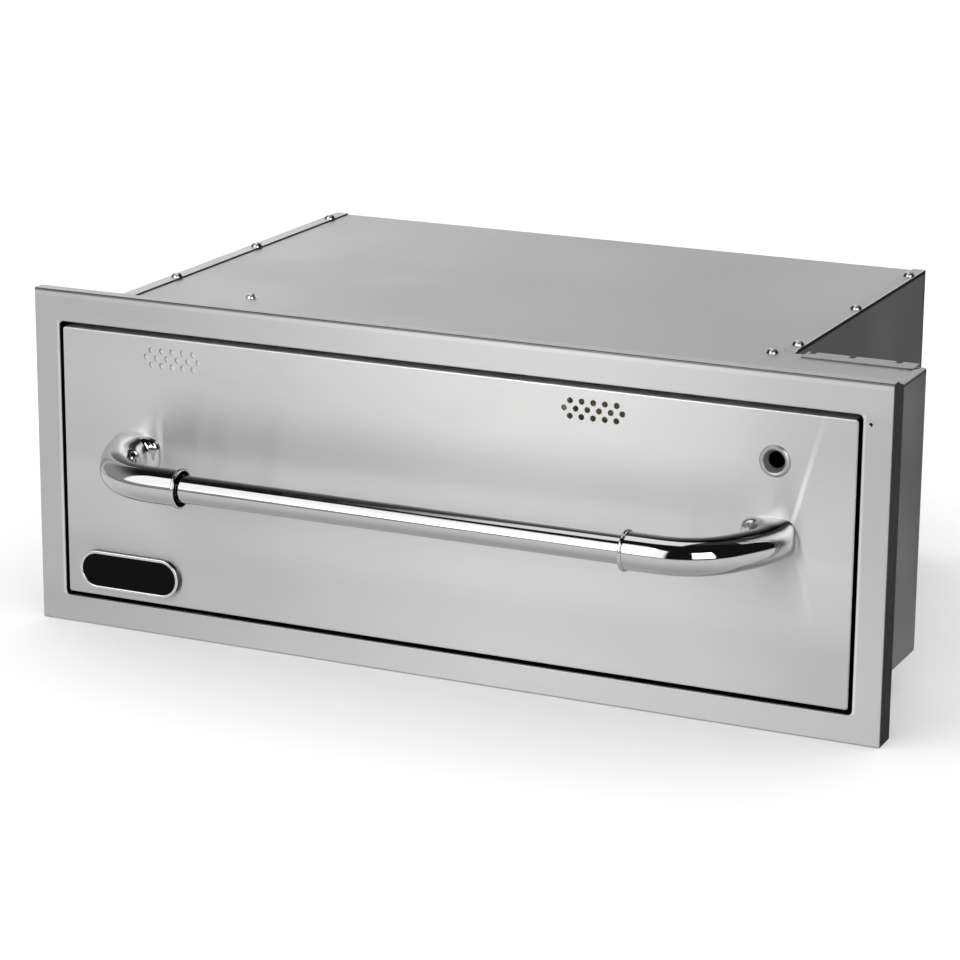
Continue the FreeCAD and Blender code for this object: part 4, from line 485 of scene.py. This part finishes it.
MATERIALS = {
    # the shade functions paint light and shade into the base colour of these sheets
    "stainless": brushed("of_front_stainless", 0.60, 0.30, 1.0, grain=0.02, patch=0.015, rgh=0.02, lines=0.006, shade=front_shade),
    "frame_stainless": brushed("of_frame_stainless", 0.555, 0.30, 1.0, grain=0.02, patch=0.02, rgh=0.02, lines=0.006, side_rough=0.65, shade=frame_shade),
    "casing_steel": brushed("of_casing_steel", 0.56, 0.48, 0.15, grain=0.05, patch=0.03, rgh=0.08, fine=1.4),
    "vent_plate": brushed("of_vent_plate", 0.70, 0.36, 1.0, grain=0.03, patch=0.02, rgh=0.02, lines=0.0),
    "left_panel": brushed("of_left_panel", 0.58, 0.48, 0.15, grain=0.05, patch=0.03, rgh=0.08, fine=1.4, shade=left_panel_shade),
    "right_panel": brushed("of_right_panel", 0.56, 0.48, 0.15, grain=0.05, patch=0.03, rgh=0.08, fine=1.4, shade=right_panel_shade),
    "box_rear": brushed("of_box_rear", 0.56, 0.48, 0.15, grain=0.05, patch=0.03, rgh=0.08, fine=1.4, shade=box_rear_shade),
    "box_side": brushed("of_box_side", 0.56, 0.48, 0.15, grain=0.05, patch=0.03, rgh=0.08, fine=1.4, shade=box_side_shade),
    "top_sheet": brushed("of_top_sheet", 0.58, 0.48, 0.15, grain=0.05, patch=0.03, rgh=0.08, fine=1.4, shade=top_shade),
    "chrome": polished("of_chrome", 0.68, 0.035, tint=(0.995, 1.0, 1.0)),
    # painted shade on the handle: a painted dark reflection on the ridge, painted shade underneath
    "handle_chrome": polished("of_handle_chrome", 0.68, 0.035, tint=(0.995, 1.0, 1.0), ridge=-0.2750),
    "bar_steel": polished("of_bar_steel", 0.66, 0.075, ridge=-0.2750),
    "black_enamel": enamel("of_black_enamel", 0.003, 0.12, peel=0.10, specular=0.05),
    "screw_heads": screw_heads("of_screw_heads"),
    "bezel": satin_bezel("of_bezel"),
    "badge_chrome": badge_chrome("of_badge_chrome"),
    "screw_steel": zinc("of_screw_steel", 0.60, 0.20),
    "liner_steel": brushed("of_liner_steel", 0.50, 0.36, 0.3, grain=0.05, patch=0.04, rgh=0.08),
    "slide_steel": zinc("of_slide_steel", 0.55, 0.38),
    "mineral_wool": wool("of_mineral_wool"),
    "element_sheath": sheath("of_element_sheath"),
    "ceramic": moulded("of_ceramic", (0.70, 0.66, 0.57), 0.55, texture=0.2, size=600.0, mottled=0.08),
    "copper": polished("of_copper", 1.0, 0.28, tint=(0.62, 0.29, 0.17), cloud=0.12, spread=0.08),
    "black_plastic": moulded("of_black_plastic", (0.018, 0.018, 0.019), 0.42),
    "phenolic": moulded("of_phenolic", (0.055, 0.028, 0.016), 0.38, texture=0.2, mottled=0.3),
    "lens_amber": lens("of_lens_amber"),
    "rubber": moulded("of_rubber", (0.014, 0.014, 0.015), 0.78, texture=0.5, size=800.0, mottled=0.25),
    "wire_sleeve": sleeve("of_wire_sleeve"),
    "pan_steel": brushed("of_pan_steel", 0.58, 0.26, 0.4, grain=0.04, patch=0.03, rgh=0.06, lines=0.06),
    "rack_wire": polished("of_rack_wire", 0.66, 0.10),
    "collar_paint": enamel("of_collar_paint", 0.004, 0.6, peel=0.3, specular=0.10),
}

SPECIAL = {    # nodes with their own finish, most of them with painted light and shade on seams, laps, cut edges and walls
    "left_side_panel": "left_panel",
    "right_side_panel": "right_panel",
    "control_box_rear": "box_rear",
    "control_box_side": "box_side",
    "top_cover": "top_sheet",
    "top_cover_screws": "screw_heads",
    "lamp_bezel": "bezel",
    "badge_rim": "badge_chrome",
    "vent_backing_plate": "vent_plate",
}

for name, obj in NODES.items():
    for i, slot in enumerate(obj.material_slots):
        key = slot.material.name.split(".")[0] if slot.material else ""
        if key not in MATERIALS:
            raise RuntimeError(f"no finish for slot {key!r} of {name}")
        slot.material = MATERIALS[SPECIAL.get(name, key)]


# ---------------------------------------------------------------- handle elbows
def elbow_path():
    """Centre line of the right elbow from behind its foot to its mouth, in mm: (x, y, heading, run). Heading is the way it goes, in
    degrees from straight out towards the middle of the handle."""
    legs = ((12, 24), (20, 12), (24, 4), (16, 16), (14, 14), (20, 20), (10, 8))    # length, turn
    x, y, head, run = 292.5, 0.0, -8.0, 0.0
    lean = math.radians(head)
    line = [(x + 6 * math.sin(lean), 6 * math.cos(lean), head, 0.0), (x, y, head, run)]
    for length, turn in legs:
        n = max(2, int(length / 1.6))
        for _ in range(n):
            mid = math.radians(head + turn / n / 2)
            x -= math.sin(mid) * length / n
            y -= math.cos(mid) * length / n
            head += turn / n
            run += length / n
            line.append((x, y, head, run))
    for k in range(1, 14):
        line.append((x + (195.1 - x) * k / 13, y, 90.0, 999.0))
    return line


def elbow_sections(side, count=96):
    """Rings of the elbow in mm, from the oblong foot on the front to the round mouth."""
    rings = []
    for x, y, head, run in elbow_path():
        near = max(0.0, 1 - run / 9.0) ** 2
        far = max(0.0, 1 - run / 36.0) ** 1.8
        square = max(0.0, 1 - run / 7.0)
        outer, inner = 15.0 - 1.5 * near, 15.0 + 16.5 * far
        upper, lower = 15.0 + 2.2 * far, 15.0 - 1.0 * far
        a = math.radians(head)
        ux, uy = math.cos(a), -math.sin(a)
        ring = []
        for k in range(count):
            t = 2 * math.pi * k / count
            c, d = math.cos(t), math.sin(t)
            power = (2.0 + 1.6 * square) if c > 0 else (2.0 + 1.4 * far + 0.6 * square)
            r = (abs(c / (outer if c > 0 else inner)) ** power + abs(d / (upper if d > 0 else lower)) ** power) ** (-1.0 / power)
            u, w = r * c, r * d
            ring.append((side * (x + ux * u), (y + uy * u) * 78.6 / 78.2, 158.3 + w))
        rings.append(ring)
    for _ in range(3):    # the legs of the path run into each other without a step in curvature
        rings = [rings[0]] + [[tuple(0.25 * p + 0.5 * q + 0.25 * r for p, q, r in zip(a, b, c)) for a, b, c in zip(*trio)]
                              for trio in zip(rings, rings[1:], rings[2:])] + [rings[-1]]
    return rings


Y0 = -0.2153


def add_piece(name, bm, material, body, smooth_angle=None):
    me = bpy.data.meshes.new(name)
    bmesh.ops.recalc_face_normals(bm, faces=bm.faces)
    bm.to_mesh(me)
    bm.free()
    for poly in me.polygons:
        poly.use_smooth = True
    if smooth_angle is not None:
        me.set_sharp_from_angle(angle=math.radians(smooth_angle))
    me.materials.append(material)
    o = bpy.data.objects.new(name, me)
    SCENE.collection.objects.link(o)
    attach(o, body)
    return o


def elbow(side, name, node):
    bm = bmesh.new()
    rings = [[bm.verts.new((x / 1000, y / 1000 + Y0, z / 1000)) for x, y, z in ring] for ring in elbow_sections(side)]
    n = len(rings[0])
    for a, b in zip(rings, rings[1:]):
        for k in range(n):
            bm.faces.new((a[k], a[(k + 1) % n], b[(k + 1) % n], b[k]))
    bm.faces.new(rings[0])
    bm.faces.new(rings[-1])
    # the leaning foot is trimmed flat on the face
    cut = bmesh.ops.bisect_plane(bm, geom=bm.verts[:] + bm.edges[:] + bm.faces[:], plane_co=(0, Y0, 0), plane_no=(0, 1, 0),
                                 clear_outer=True, dist=1e-6)
    bmesh.ops.contextual_create(bm, geom=[e for e in cut["geom_cut"] if isinstance(e, bmesh.types.BMEdge)])
    # bead round the mouth
    prof = [(198.1, 14.8), (198.1, 15.63)]
    prof += [(197.0 + 1.1 * math.cos(math.radians(a)), 15.63 + 1.1 * math.sin(math.radians(a))) for a in range(15, 91, 15)]
    prof += [(196.2 - 1.1 * math.sin(math.radians(a)), 15.63 + 1.1 * math.cos(math.radians(a))) for a in range(0, 91, 15)]
    prof += [(195.1, 14.9), (195.1, 11.55)]
    rows = []
    for x, r in prof:
        rows.append([bm.verts.new((side * x / 1000, -0.0786 + Y0 + math.cos(2 * math.pi * k / n) * r / 1000, 0.1583 + math.sin(2 * math.pi * k / n) * r / 1000))
                     for k in range(n)])
    for a, b in zip(rows, rows[1:] + rows[:1]):
        for k in range(n):
            bm.faces.new((a[k], a[(k + 1) % n], b[(k + 1) % n], b[k]))
    o = add_piece(name, bm, MATERIALS["handle_chrome"], "drawer", 50)
    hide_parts(node)
    return o


elbow(-1, "elbow_left", "handle_elbow_left")
elbow(1, "elbow_right", "handle_elbow_right")

# ---------------------------------------------------------------- floor, cards, light
def plane(name, corners, material):
    bm = bmesh.new()
    bm.faces.new([bm.verts.new(c) for c in corners])
    me = bpy.data.meshes.new(name)
    bm.to_mesh(me)
    bm.free()
    me.materials.append(material)
    o = bpy.data.objects.new(name, me)
    SCENE.collection.objects.link(o)
    return o


def floor_material():
    m = Mat("of_floor")
    p = m.coord.outputs["Object"]
    v = m.math("ADD", m.ramp(m.noise(p, 1.3, 3.0, 0.5), -0.004, 0.004, 0.3, 0.7), 0.93)
    m.set(Base_Color=m.grey(v), Roughness=0.9)
    m.bsdf.inputs["Specular IOR Level"].default_value = 0.0
    return m.m


floor = plane("floor", [(-15, -15, -0.0006), (15, -15, -0.0006), (15, 15, -0.0006), (-15, 15, -0.0006)], floor_material())


def only_glossy(o):
    o.visible_camera = False
    o.visible_diffuse = False
    o.visible_transmission = False
    o.visible_volume_scatter = False
    o.visible_shadow = False


floor.visible_glossy = False  # reflections see the lower half of the world instead


def softbox(name, at, aim, w, h, radiance, glossy=True, diffuse=True):
    d = bpy.data.lights.new(name, "AREA")
    d.shape = "RECTANGLE"
    d.size, d.size_y = w, h
    d.energy = radiance * w * h * math.pi
    o = bpy.data.objects.new(name, d)
    SCENE.collection.objects.link(o)
    o.location = at
    o.rotation_mode = "QUATERNION"
    o.rotation_quaternion = (Vector(aim) - Vector(at)).to_track_quat("-Z", "Y")
    o.visible_camera = False
    o.visible_glossy = glossy
    o.visible_diffuse = diffuse
    return o


softbox("key_front", (-1.25, -1.55, 2.1), (0.0, -0.1, 0.1), 2.2, 2.2, 0.55, glossy=False)


class Sky:
    """The studio as reflections see it: soft boxes and grey and black walls round the object, by direction."""

    def __init__(self):
        w = bpy.data.worlds.new("studio")
        SCENE.world = w
        w.use_nodes = True
        w.cycles.sampling_method = "NONE"
        self.t = w.node_tree
        self.t.nodes.clear()
        coord = self.t.nodes.new("ShaderNodeTexCoord")
        sep = self.t.nodes.new("ShaderNodeSeparateXYZ")
        self.t.links.new(coord.outputs["Generated"], sep.inputs[0])
        deg = 180.0 / math.pi
        self.az = self.op("MULTIPLY", self.op("ARCTAN2", sep.outputs[0], self.op("MULTIPLY", sep.outputs[1], -1.0)), deg)
        self.el = self.op("MULTIPLY", self.op("ARCSINE", sep.outputs[2]), deg)
        self.dir = sep.outputs
        self.level = None

    def op(self, kind, a, b=0.0):
        n = self.t.nodes.new("ShaderNodeMath")
        n.operation = kind
        for i, v in enumerate((a, b)):
            if isinstance(v, bpy.types.NodeSocket):
                self.t.links.new(v, n.inputs[i])
            else:
                n.inputs[i].default_value = v
        return n.outputs[0]

    def step(self, v, a, b, lo=0.0, hi=1.0):
        n = self.t.nodes.new("ShaderNodeMapRange")
        n.interpolation_type = "SMOOTHSTEP"
        self.t.links.new(v, n.inputs["Value"])
        for k, x in (("From Min", a), ("From Max", b), ("To Min", lo), ("To Max", hi)):
            n.inputs[k].default_value = x
        return n.outputs["Result"]

    def window(self, v, a, b, soft):
        return self.op("MULTIPLY", self.step(v, a - soft, a + soft), self.step(v, b - soft, b + soft, 1.0, 0.0))

    def box(self, az0, az1, el0, el1, soft_az=3.0, soft_el=3.0):
        return self.op("MULTIPLY", self.window(self.az, az0, az1, soft_az), self.window(self.el, el0, el1, soft_el))

    def over(self, mask, value):
        """lay value over what is there already, where mask is 1"""
        n = self.t.nodes.new("ShaderNodeMix")
        n.data_type = "FLOAT"
        for i, v in ((0, mask), (2, self.level), (3, value)):
            if isinstance(v, bpy.types.NodeSocket):
                self.t.links.new(v, n.inputs[i])
            else:
                n.inputs[i].default_value = v
        self.level = n.outputs[0]

    def finish(self, ambient):
        path = self.t.nodes.new("ShaderNodeLightPath")
        pick = self.t.nodes.new("ShaderNodeMix")
        pick.data_type = "FLOAT"
        self.t.links.new(path.outputs["Is Glossy Ray"], pick.inputs[0])
        pick.inputs[2].default_value = ambient
        self.t.links.new(self.level, pick.inputs[3])
        grey = self.t.nodes.new("ShaderNodeCombineColor")
        for i in range(3):
            self.t.links.new(pick.outputs[0], grey.inputs[i])
        back = self.t.nodes.new("ShaderNodeBackground")
        self.t.links.new(grey.outputs[0], back.inputs["Color"])
        out = self.t.nodes.new("ShaderNodeOutputWorld")
        self.t.links.new(back.outputs[0], out.inputs["Surface"])


sky = Sky()
def hill(v, at, half):
    return sky.op("EXPONENT", sky.op("MULTIPLY", sky.op("POWER", sky.op("ABSOLUTE", sky.op("DIVIDE", sky.op("ADD", v, -at), half)), 2.0), -1.0))


def plus(a, b):
    return sky.op("ADD", a, b)


def times(a, b):
    return sky.op("MULTIPLY", a, b)


def clamp(v, lo, hi):
    return sky.op("MINIMUM", sky.op("MAXIMUM", v, lo), hi)


bump = hill(sky.az, -24.8, 3.5)
sky.level = sky.step(sky.el, 20.0, 54.0, 0.42, 0.012)                      # grey walls, darker up
sky.over(sky.box(-6.0, 122.0, -2.0, 91.0, 4.0, 2.0), 0.012)                # black wall on the right
sky.over(sky.window(sky.op("ABSOLUTE", sky.az), 125.0, 200.0, 12.0), times(sky.step(sky.el, 22.0, 44.0, 1.0, 0.04), sky.step(sky.az, -167.0, -140.0, 0.80, 1.6)))  # pale wall behind
flat = sky.op("MAXIMUM", sky.dir[2], 0.05)                                  # panel overhead
sky.over(times(sky.window(sky.op("DIVIDE", sky.dir[0], flat), -0.455, 0.0, 0.03), sky.window(sky.op("DIVIDE", sky.dir[1], flat), -0.13, 0.50, 0.03)), 1.4)
ground = sky.step(sky.el, -80.0, -6.0, 0.44, 0.74)
sky.over(sky.step(sky.el, 0.5, -0.5), ground)                              # floor
sky.over(times(sky.window(sky.az, -100.0, 60.0, 6.0), sky.window(sky.el, -2.6, 0.8, 0.8)), 0.25)   # dark edge of the floor
low = clamp(plus(times(plus(sky.az, 22.0), -1.4), 2.0), 0.5, 11.0)          # key: its lower and upper edges slope
high = clamp(plus(times(plus(sky.az, 35.0), -0.3), 52.0), 30.0, 57.0)
edge = times(sky.step(sky.op("SUBTRACT", sky.el, low), -1.0, 3.0), sky.step(sky.op("SUBTRACT", sky.el, high), 1.5, -1.5))
sky.over(times(sky.window(sky.az, -62.0, -5.0, 3.0), edge), plus(times(bump, 3.1), 1.85))
sky.over(sky.box(30.0, 58.0, 6.0, 40.0, 1.5, 1.5), 4.5)                    # small box on the right
sky.over(sky.box(128.0, 178.0, -45.0, 2.0, 8.0, 3.0), 0.012)               # dark floor at the right rear
sky.finish(1.16)
